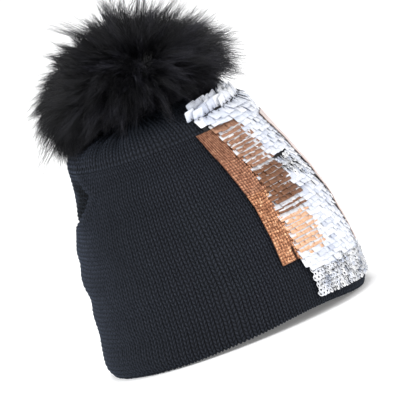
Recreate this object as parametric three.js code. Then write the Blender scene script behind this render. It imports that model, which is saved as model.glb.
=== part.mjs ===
// Knitted bobble hat with a removable fur pompom and an applique panel of
// ribbons and sequins. Millimetres, +Z up. The hat stands on its rim (Z = 0),
// the origin is the centre of the footprint, and the wearer's front, with the
// panel, looks along +X and -Y.
import * as THREE from "three";
import { mergeVertices } from "three/addons/utils/BufferGeometryUtils.js";

// ---------------------------------------------------------------- dimensions
const KNIT_THICKNESS = 3.6; // stockinette of a chunky yarn
const RIM_WIDTH = 3.0; // flat width of the rim that the hat stands on
const LINING_GAP = 0.75;
const LINING_THICKNESS = 1.8; // brushed fleece
const SECTION_POWER = 2.15; // the plan section is a slightly squared ellipse
const SHIFT_X = -1.71; // puts the origin at the centre of the footprint

// Meridian of the knit, rim to crown: height, centre offset in X,
// half width in X, half depth in Y. The crown is flat round the snap.
const PROFILE = [
  [0.0, 0.5, 87.6, 94.2],
  [2.5, 0.3, 89.5, 96.1],
  [8.0, 0.1, 90.4, 97.0],
  [20.0, 0.8, 89.6, 96.3],
  [34.0, 1.0, 88.4, 95.2],
  [59.0, 0.2, 85.6, 92.0],
  [79.0, -1.1, 81.9, 88.0],
  [90.0, -2.0, 79.0, 85.0],
  [101.0, -2.8, 75.5, 81.5],
  [114.0, -3.2, 70.9, 76.8],
  [123.0, -3.7, 67.7, 73.5],
  [133.0, -4.6, 64.8, 70.0],
  [141.0, -5.4, 62.4, 67.0],
  [148.0, -6.2, 58.4, 62.4],
  [152.5, -7.2, 51.4, 54.6],
  [155.1, -8.4, 40.5, 42.6],
  [156.0, -10.0, 25.0, 25.0],
  [156.0, -10.0, 5.0, 5.0],
];
const CROWN_X = -10; // snap axis
const CROWN_Z = 156; // top of the flat crown

const BACKING_FROM = 0.45; // heights above the knit of the panel's two layers
const BACKING_TO = 1.2;
const TRIM_FROM = 1.6;
const RIBBON_TO = 2.5;
const SEQUIN_TO = 3.2;
const PATCH_GAP = 0.35; // degrees taken off each side edge of a patch

const SNAP = {
  barrelInner: 2.2,
  barrelOuter: 3.4,
  flange: 7.5,
  springSeat: 5.6,
  mouth: 4.5,
  studHead: 4.1,
  studNeck: 3.6,
  post: 1.8,
  postHole: 2.8,
  cap: 6.5,
};
const TILT_Z = 164.4; // height of the pompom's tilt axis

// ------------------------------------------------------------------ surface
// Catmull-Rom through the profile rows.
function profileRow(t) {
  const last = PROFILE.length - 1;
  const i = Math.max(0, Math.min(last - 1, Math.floor(t)));
  const f = t - i;
  const p = (k) => PROFILE[Math.max(0, Math.min(last, k))];
  if (i >= last - 1) return p(i).map((v, k) => v + (p(i + 1)[k] - v) * f);
  const [p0, p1, p2, p3] = [p(i - 1), p(i), p(i + 1), p(i + 2)];
  return p1.map(
    (v, k) =>
      0.5 *
      (2 * v +
        (p2[k] - p0[k]) * f +
        (2 * p0[k] - 5 * v + 4 * p2[k] - p3[k]) * f * f +
        (3 * v - p0[k] - 3 * p2[k] + p3[k]) * f * f * f),
  );
}

// The same row moved along the meridian's normal by d (outwards positive).
function offsetRow(t, d) {
  const [z, cx, a, b] = profileRow(t);
  if (t < 0.75) return [z, cx, a + d, b + d];
  const last = PROFILE.length - 1;
  const h = 0.35;
  const lo = profileRow(Math.max(0.5, t - h));
  const hi = profileRow(Math.min(last, t + h));
  const da = hi[2] - lo[2];
  const dz = hi[0] - lo[0];
  const len = Math.hypot(da, dz);
  const nr = dz / len;
  const nz = -da / len;
  return [z + d * nz, cx, a + d * nr, b + d * nr];
}

const signedPower = (c) => Math.sign(c) * Math.abs(c) ** (2 / SECTION_POWER);

// Point of the hat at angle phi (degrees, 0 at -Y, 90 at +X) and row t.
function ringPoint(row, phi) {
  const [z, cx, a, b] = row;
  const r = (phi * Math.PI) / 180;
  return [cx + a * signedPower(Math.sin(r)), -b * signedPower(Math.cos(r)), z];
}

// --------------------------------------------------------------- mesh makers
function geometryOf(points, faces) {
  const g = new THREE.BufferGeometry();
  g.setAttribute(
    "position",
    new THREE.Float32BufferAttribute(points.flat(), 3),
  );
  g.setIndex(faces.flat());
  const shaded = g.toNonIndexed();
  shaded.computeVertexNormals();
  return shaded;
}

// A closed tube of rings: rows go up the outside, then down the inside.
function ringShell(rows, count) {
  const points = [];
  for (const row of rows)
    for (let j = 0; j < count; j++)
      points.push(ringPoint(row, (360 * j) / count));
  const faces = [];
  const n = rows.length;
  for (let i = 0; i < n; i++)
    for (let j = 0; j < count; j++) {
      const a = i * count + j;
      const b = i * count + ((j + 1) % count);
      const c = ((i + 1) % n) * count + ((j + 1) % count);
      const d = ((i + 1) % n) * count + j;
      faces.push([a, b, c], [a, c, d]);
    }
  return geometryOf(points, faces);
}

const lerpTable = (table, t) => {
  if (t <= table[0][0]) return table[0][1];
  for (let i = 1; i < table.length; i++)
    if (t <= table[i][0]) {
      const [t0, v0] = table[i - 1];
      const [t1, v1] = table[i];
      return v0 + ((v1 - v0) * (t - t0)) / (t1 - t0);
    }
  return table[table.length - 1][1];
};

// A patch lying on the hat between two edges, each an angle as a function of
// the row, over the rows listed (going up), between two heights off the knit.
function patch(left, right, rows, from, to, step = 6.5, gap = PATCH_GAP) {
  const edge = (e, t) => (typeof e === "number" ? e : lerpTable(e, t));
  let widest = 0;
  for (const t of rows) widest = Math.max(widest, edge(right, t) - edge(left, t));
  const nu = Math.max(1, Math.ceil(widest / step));
  const nv = rows.length - 1;
  const points = [];
  const layer = (d) => {
    const start = points.length;
    for (let v = 0; v <= nv; v++) {
      const t = rows[v];
      const row = offsetRow(t, d);
      const l = edge(left, t) + gap;
      const r = edge(right, t) - gap;
      for (let u = 0; u <= nu; u++)
        points.push(ringPoint(row, l + ((r - l) * u) / nu));
    }
    return start;
  };
  const o = layer(to);
  const i = layer(from);
  const w = nu + 1;
  const faces = [];
  for (let v = 0; v < nv; v++)
    for (let u = 0; u < nu; u++) {
      const k = v * w + u;
      faces.push([o + k, o + k + 1, o + k + w + 1], [o + k, o + k + w + 1, o + k + w]);
      faces.push([i + k, i + k + w + 1, i + k + 1], [i + k, i + k + w, i + k + w + 1]);
    }
  for (let u = 0; u < nu; u++) {
    const top = nv * w + u;
    faces.push([i + u, i + u + 1, o + u + 1], [i + u, o + u + 1, o + u]);
    faces.push([o + top, o + top + 1, i + top + 1], [o + top, i + top + 1, i + top]);
  }
  for (let v = 0; v < nv; v++) {
    const l = v * w;
    const r = v * w + nu;
    faces.push([o + l, o + l + w, i + l + w], [o + l, i + l + w, i + l]);
    faces.push([i + r, i + r + w, o + r + w], [i + r, o + r + w, o + r]);
  }
  return geometryOf(points, faces);
}

// A turned piece about the snap axis, from a profile of [radius, height]
// listed anticlockwise in the radius-height plane.
function turned(profile, segments) {
  const points = profile.map(([r, z]) => new THREE.Vector2(r, z));
  const g = new THREE.LatheGeometry(points, segments);
  g.rotateX(Math.PI / 2);
  g.deleteAttribute("normal");
  g.deleteAttribute("uv");
  const merged = mergeVertices(g, 1e-4);
  // drop the collapsed triangles on the axis
  const index = merged.index.array;
  const pos = merged.getAttribute("position");
  const kept = [];
  for (let k = 0; k < index.length; k += 3) {
    const [a, b, c] = [index[k], index[k + 1], index[k + 2]];
    if (a !== b && b !== c && c !== a) kept.push(a, b, c);
  }
  const out = new THREE.BufferGeometry();
  out.setAttribute("position", pos);
  out.setIndex(kept);
  const shaded = out.toNonIndexed();
  shaded.computeVertexNormals();
  return shaded;
}

function circleProfile(radius, height, wire, sides) {
  const out = [];
  for (let k = 0; k <= sides; k++) {
    const a = (2 * Math.PI * k) / sides;
    out.push([radius + wire * Math.cos(a), height + wire * Math.sin(a)]);
  }
  out[sides] = out[0].slice();
  return out;
}

const closed = (profile) => [...profile, profile[0].slice()];

// -------------------------------------------------------------------- panel
// Edges of the panel's strips: [row, angle].
const RIBBON_LEFT = [
  [4.2, 25.2],
  [5.25, 25.9],
  [6.15, 26.4],
  [7.75, 25.6],
  [9.6, 22.6],
  [11.6, 19.4],
];
const RIBBON_RIGHT = [
  [4.2, 35.5],
  [5.5, 36.4],
  [6.65, 37.9],
  [8.15, 38.8],
  [9.95, 35.8],
  [11.6, 31.5],
];
const STRIP_RIGHT = [
  [4.2, 51.7],
  [4.85, 52.4],
  [5.5, 53.8],
  [6.2, 55.6],
  [7.85, 54.9],
  [9.75, 54.2],
  [11.6, 50.6],
];
const ROSE_LEFT = [
  [3.9, 87.6],
  [6.0, 87.8],
  [8.0, 87.6],
  [9.1, 86.4],
  [10.15, 83.6],
  [10.8, 81.6],
];
const ROSE_RIGHT = ROSE_LEFT.map(([t, v]) => [t, v + 11]);
const SILVER_LEFT = [
  [6.05, 75.4],
  [7.25, 56.6],
  [7.6, 55.2],
  [8.25, 54.9],
];
const SILVER_RIGHT = [
  [6.05, 77.4],
  [8.25, 73.2],
];
const PANEL_FAR = 121; // far edge of the panel, round the side of the hat

const backingLeft = [
  [1.95, 37.4],
  [3.6, 37.2],
  [4.2, 26.8],
  ...RIBBON_LEFT.slice(1).map(([t, v]) => [t, v + 1]),
  [12.1, 25.0],
  [13.4, 25.0],
  [14.3, 34.5],
];

// ---------------------------------------------------------------- assembly
const hat = new THREE.Group();
hat.position.x = SHIFT_X;

function add(name, geometry, colour, roughness, metalness = 0) {
  const mesh = new THREE.Mesh(
    geometry,
    new THREE.MeshStandardMaterial({ color: colour, roughness, metalness }),
  );
  mesh.name = name;
  hat.add(mesh);
  return mesh;
}
function addTurned(name, profile, segments, colour, roughness, metalness = 0) {
  const mesh = add(name, turned(profile, segments), colour, roughness, metalness);
  mesh.position.x = CROWN_X;
  return mesh;
}

// Knitted cap: one open shell, with a hole in the crown for the snap's barrel.
{
  const rows = [0, 1, 2, 3, 4, 5, 6, 7, 8, 9, 10, 11, 12, 13, 14, 15, 16, 17];
  const outside = rows.map((t) => profileRow(t));
  const inside = rows.map((t) =>
    offsetRow(t, t === 0 ? -RIM_WIDTH : -KNIT_THICKNESS),
  );
  add("knit_shell", ringShell([...outside, ...inside.reverse()], 48), 0x2e303c, 0.95);
}

// Fleece lining, a second open shell inside the first.
{
  const rows = [1.3, 3, 5, 7, 9, 11, 12, 13, 14, 15, 16, 17];
  const gap = KNIT_THICKNESS + LINING_GAP;
  const outside = rows.map((t) => offsetRow(t, -gap));
  const inside = rows.map((t) => offsetRow(t, -gap - LINING_THICKNESS));
  add("fleece_lining", ringShell([...outside, ...inside.reverse()], 36), 0x25262e, 1);
}
const liningBottom = CROWN_Z - KNIT_THICKNESS - LINING_GAP - LINING_THICKNESS;

// Blank care label on the lining, inside the back of the rim.
add(
  "care_label",
  patch(196, 211, [3.0, 3.5, 4.0, 4.5], -8.0, -7.1, 6, 0),
  0xe9e7e2,
  0.8,
);

// Applique panel: a backing net, then ribbons and sequins side by side on it.
add(
  "panel_backing",
  patch(
    backingLeft,
    PANEL_FAR,
    [1.95, 3, 3.6, 3.9, 4.2, 5.25, 6.15, 7, 7.75, 8.7, 9.6, 10.6, 11.6, 12.1, 12.7, 13.4, 13.8, 14.3],
    BACKING_FROM,
    BACKING_TO,
    7,
  ),
  0x1b1c20,
  0.9,
);
const COPPER = 0x9b5f40;
add(
  "copper_ribbon_lower",
  patch(RIBBON_LEFT, RIBBON_RIGHT, [4.2, 4.9, 5.6, 6.3, 7.05], TRIM_FROM, RIBBON_TO, 5),
  COPPER,
  0.35,
  0.9,
);
add(
  "copper_ribbon_upper",
  patch(RIBBON_LEFT, RIBBON_RIGHT, [7.12, 8, 8.8, 9.7, 10.6, 11.6], TRIM_FROM, RIBBON_TO, 5),
  0x855040,
  0.4,
  0.9,
);
add(
  "copper_sequins_lower",
  patch(RIBBON_RIGHT, STRIP_RIGHT, [4.2, 4.85, 5.5], TRIM_FROM, SEQUIN_TO),
  0xe8b48c,
  0.35,
  0.6,
);
add(
  "copper_sequins_middle",
  patch(RIBBON_RIGHT, STRIP_RIGHT, [5.56, 6.4, 7.3, 8.25], TRIM_FROM, SEQUIN_TO),
  0x77472f,
  0.4,
  0.8,
);
add(
  "copper_sequins_upper",
  patch(RIBBON_RIGHT, STRIP_RIGHT, [8.31, 9.1, 9.95, 10.8, 11.5], TRIM_FROM, SEQUIN_TO),
  0xa97b62,
  0.4,
  0.7,
);
const WHITE = 0xeef1f7;
add(
  "white_sequins_band",
  patch(36.8, 87.4, [3.72, 4.12], TRIM_FROM, SEQUIN_TO),
  WHITE,
  0.3,
);
add(
  "white_sequins_lower",
  patch(STRIP_RIGHT, ROSE_LEFT, [4.2, 4.85, 5.4, 6.0], TRIM_FROM, SEQUIN_TO),
  WHITE,
  0.3,
);
add(
  "white_sequins_middle",
  patch(STRIP_RIGHT, SILVER_LEFT, [6.08, 6.3, 6.5, 6.7, 6.9, 7.1], TRIM_FROM, SEQUIN_TO),
  WHITE,
  0.3,
);
add(
  "silver_sequins_upper",
  patch(SILVER_LEFT, SILVER_RIGHT, [6.14, 6.7, 7.25, 7.75, 8.25], TRIM_FROM, SEQUIN_TO),
  0xb9bfcb,
  0.25,
  0.9,
);
add(
  "white_sequins_side",
  patch(SILVER_RIGHT, ROSE_LEFT, [6.1, 6.8, 7.5, 8.25], TRIM_FROM, SEQUIN_TO),
  WHITE,
  0.3,
);
add(
  "white_sequins_upper",
  patch(STRIP_RIGHT, ROSE_LEFT, [8.31, 9.1, 9.95, 10.78], TRIM_FROM, SEQUIN_TO),
  WHITE,
  0.3,
);
add(
  "white_sequins_shoulder",
  patch(STRIP_RIGHT, PANEL_FAR - 0.6, [10.88, 11.2, 11.54], TRIM_FROM, SEQUIN_TO),
  WHITE,
  0.3,
);
add(
  "white_sequins_top",
  patch(
    [
      [11.62, 31.4],
      [12.3, 24.0],
      [12.9, 24.0],
    ],
    PANEL_FAR - 0.6,
    [11.62, 11.95, 12.3, 12.6, 12.9],
    TRIM_FROM,
    SEQUIN_TO,
  ),
  WHITE,
  0.3,
);
// Short rows brushed up towards the pompom.
add(
  "white_sequins_crown",
  patch(
    [
      [12.98, 24.0],
      [13.5, 25.0],
      [14.3, 34.0],
      [15.0, 50.0],
    ],
    PANEL_FAR - 1.5,
    [12.98, 13.5, 14.0, 14.5, 15.0],
    TRIM_FROM,
    SEQUIN_TO,
    8,
  ),
  WHITE,
  0.3,
);
add(
  "silver_sequins_lower",
  patch(36.6, PANEL_FAR, [1.95, 2.5, 3.1, 3.64], TRIM_FROM, SEQUIN_TO),
  0xc4c9d4,
  0.25,
  0.9,
);
add(
  "rose_ribbon",
  patch(ROSE_LEFT, ROSE_RIGHT, [3.9, 5, 6, 7, 8, 9.1, 10.1, 10.75], TRIM_FROM, RIBBON_TO, 6),
  0xcdb4ae,
  0.5,
  0.1,
);
add(
  "white_sequins_far",
  patch(
    ROSE_RIGHT,
    PANEL_FAR - 0.6,
    [3.72, 5, 6, 7, 8, 9.1, 10.1, 10.78],
    TRIM_FROM,
    SEQUIN_TO,
  ),
  WHITE,
  0.3,
);

// Drawn-up cord that gathers the knit round the snap.
addTurned(
  "gathering_cord",
  circleProfile(11.5, CROWN_Z + 1.3, 0.95, 6),
  28,
  0x2b2d38,
  0.95,
);

// Felt disc under the lining that keeps the snap from pulling through.
const patchTop = liningBottom - 0.3;
addTurned(
  "crown_patch",
  closed([
    [3.8, patchTop - 1.5],
    [18, patchTop - 1.5],
    [18, patchTop],
    [3.8, patchTop],
  ]),
  28,
  0x202127,
  1,
);

// Snap socket on the crown, its barrel through knit, lining and felt.
const barrelEnd = patchTop - 3.1;
addTurned(
  "snap_socket",
  closed([
    [SNAP.barrelInner, barrelEnd],
    [SNAP.barrelOuter, barrelEnd],
    [SNAP.barrelOuter, CROWN_Z + 0.35],
    [SNAP.flange, CROWN_Z + 0.35],
    [SNAP.flange, CROWN_Z + 4.3],
    [SNAP.mouth, CROWN_Z + 4.3],
    [SNAP.mouth, CROWN_Z + 3.6],
    [SNAP.springSeat, CROWN_Z + 3.6],
    [SNAP.springSeat, CROWN_Z + 1.3],
    [SNAP.barrelInner, CROWN_Z + 1.3],
  ]),
  28,
  0x6b6e75,
  0.35,
  1,
);
addTurned(
  "socket_backing_ring",
  closed([
    [SNAP.barrelOuter + 0.3, patchTop - 2.7],
    [8.5, patchTop - 2.7],
    [8.5, patchTop - 1.8],
    [SNAP.barrelOuter + 0.3, patchTop - 1.8],
  ]),
  28,
  0x6b6e75,
  0.4,
  1,
);

// Ring spring in the socket; it turns with the stud.
addTurned(
  "snap_ring_spring",
  circleProfile(4.85, CROWN_Z + 2.4, 0.42, 6),
  24,
  0x9a9da4,
  0.3,
  1,
);

// Stud: head, neck, flange under the pompom's base and a post through it.
addTurned(
  "snap_stud",
  [
    [0, CROWN_Z + 1.6],
    [3.2, CROWN_Z + 1.6],
    [SNAP.studHead, CROWN_Z + 2.2],
    [SNAP.studHead, CROWN_Z + 3.0],
    [SNAP.studNeck, CROWN_Z + 3.5],
    [SNAP.studNeck, CROWN_Z + 4.9],
    [SNAP.flange, CROWN_Z + 4.9],
    [SNAP.flange, CROWN_Z + 5.8],
    [SNAP.post, CROWN_Z + 5.8],
    [SNAP.post, CROWN_Z + 12.2],
    [0, CROWN_Z + 12.2],
  ],
  24,
  0x6b6e75,
  0.35,
  1,
);
addTurned(
  "stud_cap",
  [
    [0, CROWN_Z + 12.6],
    [SNAP.post + 0.3, CROWN_Z + 12.6],
    [SNAP.post + 0.3, CROWN_Z + 11.0],
    [SNAP.cap, CROWN_Z + 11.0],
    [SNAP.cap, CROWN_Z + 11.9],
    [3.5, CROWN_Z + 11.9],
    [3.5, CROWN_Z + 13.7],
    [0, CROWN_Z + 13.7],
  ],
  24,
  0x6b6e75,
  0.4,
  1,
);

// Pompom: leather base disc, polyester filling and the fur pelt round it.
addTurned(
  "pompom_base",
  closed([
    [SNAP.postHole, TILT_Z - 1],
    [20.4, TILT_Z - 1],
    [20.4, TILT_Z + 1],
    [SNAP.postHole, TILT_Z + 1],
  ]),
  30,
  0x1d1a19,
  0.8,
);
addTurned(
  "pompom_filling",
  [
    [0, 173.5],
    [9.5, 173.5],
    [9.5, 166.2],
    [20.3, 166.2],
    [20.3, 172.2],
    [46, 173.8],
    [55.2, 178],
    [56.4, 183],
    [51.5, 192.5],
    [43.5, 202.4],
    [32, 212.4],
    [17, 219.6],
    [0, 222.4],
  ],
  28,
  0xd9d7d2,
  1,
);
addTurned(
  "pompom_pelt",
  [
    [0, 224],
    [17.6, 221],
    [33, 213.6],
    [44.8, 203.2],
    [53, 193],
    [58, 183],
    [56.6, 177],
    [46.4, 172.2],
    [21.2, 171],
    [21.2, 164],
    [45, 165.5],
    [59, 169],
    [65.5, 175],
    [66.5, 182],
    [62.5, 191.5],
    [54.5, 202.5],
    [43, 214],
    [28, 224],
    [13, 230.2],
    [0, 232],
  ],
  36,
  0x0e0f11,
  0.9,
);

export default hat;
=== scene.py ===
# Looks for the knitted bobble hat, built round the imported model. Metres, +Z up.
import math

import bpy
import numpy as np
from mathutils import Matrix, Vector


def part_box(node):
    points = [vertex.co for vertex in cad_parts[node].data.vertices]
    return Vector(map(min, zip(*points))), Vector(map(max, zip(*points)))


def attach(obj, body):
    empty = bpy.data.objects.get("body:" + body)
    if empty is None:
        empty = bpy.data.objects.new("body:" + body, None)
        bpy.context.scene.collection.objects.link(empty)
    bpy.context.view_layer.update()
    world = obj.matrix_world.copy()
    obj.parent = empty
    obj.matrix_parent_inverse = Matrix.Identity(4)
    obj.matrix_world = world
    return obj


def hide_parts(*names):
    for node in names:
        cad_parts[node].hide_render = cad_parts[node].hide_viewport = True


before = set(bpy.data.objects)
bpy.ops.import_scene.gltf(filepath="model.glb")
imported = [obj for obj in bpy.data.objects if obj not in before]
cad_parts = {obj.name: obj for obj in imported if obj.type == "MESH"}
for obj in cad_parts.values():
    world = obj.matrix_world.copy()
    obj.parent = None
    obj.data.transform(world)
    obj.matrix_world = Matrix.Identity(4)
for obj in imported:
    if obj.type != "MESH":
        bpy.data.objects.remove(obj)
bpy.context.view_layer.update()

RNG = np.random.default_rng(20)
MM = 0.001

# ------------------------------------------------------------------ hat form
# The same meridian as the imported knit: height, centre offset, half width,
# half depth, in millimetres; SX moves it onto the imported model's snap axis.
PROFILE = np.array([
    (0.0, 0.5, 87.6, 94.2), (2.5, 0.3, 89.5, 96.1), (8.0, 0.1, 90.4, 97.0),
    (20.0, 0.8, 89.6, 96.3), (34.0, 1.0, 88.4, 95.2), (59.0, 0.2, 85.6, 92.0),
    (79.0, -1.1, 81.9, 88.0), (90.0, -2.0, 79.0, 85.0), (101.0, -2.8, 75.5, 81.5),
    (114.0, -3.2, 70.9, 76.8), (123.0, -3.7, 67.7, 73.5), (133.0, -4.6, 64.8, 70.0),
    (141.0, -5.4, 62.4, 67.0), (148.0, -6.2, 58.4, 62.4), (152.5, -7.2, 51.4, 54.6),
    (155.1, -8.4, 40.5, 42.6), (156.0, -10.0, 25.0, 25.0), (156.0, -10.0, 5.0, 5.0)])
LAST = len(PROFILE) - 1
POWER = 2.15
_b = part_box("pompom_base")
AXIS_X = float(_b[0][0] + _b[1][0]) / 2 / MM  # the snap's axis
SX = AXIS_X + 10.0
CROWN_Z = float(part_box("knit_shell")[1][2]) / MM


def profile(t):
    t = np.asarray(t, float)
    i = np.clip(np.floor(t).astype(int), 0, LAST - 1)
    f = (t - i)[..., None]
    row = lambda k: PROFILE[np.clip(k, 0, LAST)]
    p0, p1, p2, p3 = row(i - 1), row(i), row(i + 1), row(i + 2)
    cr = 0.5 * (2 * p1 + (p2 - p0) * f + (2 * p0 - 5 * p1 + 4 * p2 - p3) * f * f
                + (3 * p1 - p0 - 3 * p2 + p3) * f ** 3)
    return np.where((i >= LAST - 1)[..., None], p1 + (p2 - p1) * f, cr)


def meridian_normal(t):
    t = np.asarray(t, float)
    lo, hi = profile(np.maximum(0.6, t - 0.35)), profile(np.minimum(LAST, t + 0.35))
    da, dz = hi[..., 2] - lo[..., 2], hi[..., 0] - lo[..., 0]
    n = np.hypot(da, dz)
    return dz / n, -da / n


def spow(c):
    return np.sign(c) * np.abs(c) ** (2 / POWER)


def smooth(x, lo, hi):
    x = np.clip((np.asarray(x, float) - lo) / (hi - lo), 0, 1)
    return x * x * (3 - 2 * x)


def bump(x, mid, half):
    """1 at mid, 0 beyond half, smooth."""
    return smooth(1 - np.abs(np.asarray(x, float) - mid) / half, 0, 1)


def wrap(phi):
    return (np.asarray(phi, float) + 180.0) % 360.0 - 180.0


def waves(phi, z, seed, n=7, fphi=(1, 5), fz=(0.01, 0.05)):
    """Smooth seeded wobble of about unit size, periodic round the hat."""
    r = np.random.default_rng(seed)
    out = 0.0
    for _ in range(n):
        k = r.integers(fphi[0], fphi[1] + 1)
        q = r.uniform(*fz) * r.choice((-1, 1))
        out = out + np.sin(np.radians(phi) * k + z * q * 2 * math.pi + r.uniform(0, 6.28))
    return out / math.sqrt(n)


def clear_of_panel(phi):
    """1 away from the panel, 0 on it."""
    p = wrap(phi)
    return 1 - smooth(p, 6, 20) * (1 - smooth(p, 126, 140))


def tuck(p, z):
    """Degrees left of the tuck's line, the height of the ridge under it, and the groove between."""
    k = np.where(z >= 123, -56.0 - (z - 123) * 0.85, -56.0 - (123 - z) * 1.0)
    over = np.where(p > -66, 121.0 + (p + 56) * 1.1, 110.0 + (p + 66) * 0.42)
    left = k - p
    groove = smooth(left, -1.0, 2.5) * (1 - smooth(left, 6, 19)) * smooth(z - over, -1.0, 2.5) * (1 - smooth(z, 122, 138))
    return left, over, groove


def form(phi, z):
    """Soft folds of the filled-out hat: millimetres along the normal."""
    p = wrap(phi)
    free = clear_of_panel(phi)
    body = smooth(z, 6, 30) * (1 - smooth(z, 138, 150))
    d = 0.75 * waves(phi, z, 5) * body * (0.25 + 0.75 * free)
    # a deep tuck on the left of the crown: cloth drops behind two ridges
    left, over, groove = tuck(p, z)
    d = d - 8.0 * groove
    d = d - 2.6 * smooth(left, 4, 14) * smooth(z - over, -2, 5) * (1 - smooth(z, 110, 138)) * (1 - smooth(-p, 108, 150))
    d = d - 1.3 * smooth(-p, 58, 80) * (1 - smooth(-p, 112, 150)) * bump(z, 98, 24)
    d = d + 2.0 * np.exp(-((left + 5.0) / 5.0) ** 2) * smooth(z, 114, 125) * (1 - smooth(z, 135, 147))
    d = d + 1.5 * np.exp(-((z - over + 5.0) / 5.0) ** 2) * smooth(-p, 46, 60) * (1 - smooth(-p, 74, 96))
    # a soft hollow across the front of the crown, and the swell under it
    d = d - 2.3 * bump(p, -18, 34) * np.exp(-((z - 131 - 0.10 * (p + 18)) / 6.5) ** 2)
    d = d + 1.3 * bump(p, -24, 36) * np.exp(-((z - 115) / 8.0) ** 2)
    d = d - 1.2 * bump(p, -36, 22) * np.exp(-((z - 104 - 0.30 * (p + 36)) / 5.0) ** 2)
    # same kind of tuck, softer, at the back
    across = (wrap(phi - 178) + 0.35 * (z - 120))
    d = d - 3.2 * smooth(z, 104, 120) * (1 - smooth(z, 140, 153)) * np.exp(-(across / 6.0) ** 2)
    # bulge just above the rim, then a crease, on the left
    d = d + 1.0 * bump(p, -70, 60) * np.exp(-((z - 14) / 9.0) ** 2)
    d = d - 1.2 * bump(p, -58, 44) * np.exp(-((z - 25) / 6.0) ** 2)
    return d


PLEATS = [(-28, 5.0, 2.6), (9, 6.0, 1.3), (-62, 7.0, 1.6), (-98, 6.0, 2.0), (-132, 7.0, 1.8),
          (-165, 6.0, 2.2), (160, 7.0, 1.7), (133, 6.0, 1.5), (-5, 5.0, 0.9), (-43, 4.5, 2.2)]


def crown_pleats(phi, s):
    """Gathers where the knit is drawn up; s is the distance from the hole."""
    w = smooth(s, 9, 22) * (1 - smooth(s, 50, 72))
    d = 0.0
    for mid, half, deep in PLEATS:
        d = d - deep * np.exp(-(wrap(phi - mid) / half) ** 2)
    d = d * w
    # a pucker where a decrease draws the stitches in
    d = d - 2.6 * np.exp(-((wrap(phi) + 19) / 3.6) ** 2 - ((s - 43) / 4.5) ** 2)
    d = d + 1.3 * np.exp(-((wrap(phi) + 11) / 5.0) ** 2 - ((s - 42) / 6.0) ** 2)
    return d


def hem_lift(phi, z):
    p = wrap(phi)
    up = 3.2 * bump(p, 20, 50) + 2.6 * bump(p, 42, 40) + 1.6 * bump(p, -150, 60)
    return up * np.exp(-np.maximum(z, 0) / 26.0)


# distance along the meridian from the crown's hole, as a table against t
_T = np.linspace(LAST, 0, 3401)
_P = profile(_T)
_seg = np.hypot(np.diff(_P[:, 0]), np.diff((_P[:, 2] + _P[:, 3]) / 2))
_S = np.concatenate([[0], np.cumsum(_seg)])


def t_of_s(s):
    return np.interp(s, _S, _T)


def s_of_t(t):
    return np.interp(LAST - np.asarray(t, float), LAST - _T, _S)


def place(phi, t, d, deform=True):
    """Metres. Point at angle phi (degrees), row t, d millimetres off the knit's outer face."""
    phi, t, d = np.broadcast_arrays(np.asarray(phi, float), np.asarray(t, float), np.asarray(d, float))
    row = profile(t)
    nr, nz = meridian_normal(t)
    z0 = row[..., 0]
    if deform:
        d = d + form(phi, z0) + crown_pleats(phi, s_of_t(t)) * clear_of_panel(phi)
    r = np.radians(phi)
    x = row[..., 1] + (row[..., 2] + d * nr) * spow(np.sin(r)) + SX
    y = -(row[..., 3] + d * nr) * spow(np.cos(r))
    z = z0 + d * nz
    if deform:
        z = z + hem_lift(phi, z0)
    return np.stack([x, y, z], -1) * MM


def frame_at(phi, t, d):
    """Point, unit tangent along the rim, unit direction down the hat, unit normal."""
    e = 0.4
    p = place(phi, t, d)
    tu = place(np.asarray(phi) + e, t, d) - place(np.asarray(phi) - e, t, d)
    td = place(phi, np.asarray(t) - 0.03, d) - place(phi, np.asarray(t) + 0.03, d)
    tu = tu / np.linalg.norm(tu, axis=-1, keepdims=True)
    td = td / np.linalg.norm(td, axis=-1, keepdims=True)
    n = np.cross(td, tu)
    n = n / np.linalg.norm(n, axis=-1, keepdims=True)
    td = np.cross(tu, n)
    return p, tu, td, n


# --------------------------------------------------------------- mesh helpers
def cells(n, uv):
    """Map coordinates for n copies of a template, one small square of the map for each."""
    g = int(math.ceil(math.sqrt(n)))
    uv = np.clip(np.asarray(uv, float), 0, 1) * 0.88 + 0.06
    i = np.arange(n)
    at = np.stack([i % g, i // g], -1)[:, None, :]
    return ((at + uv[None]) / g).reshape(-1, 2)


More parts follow.
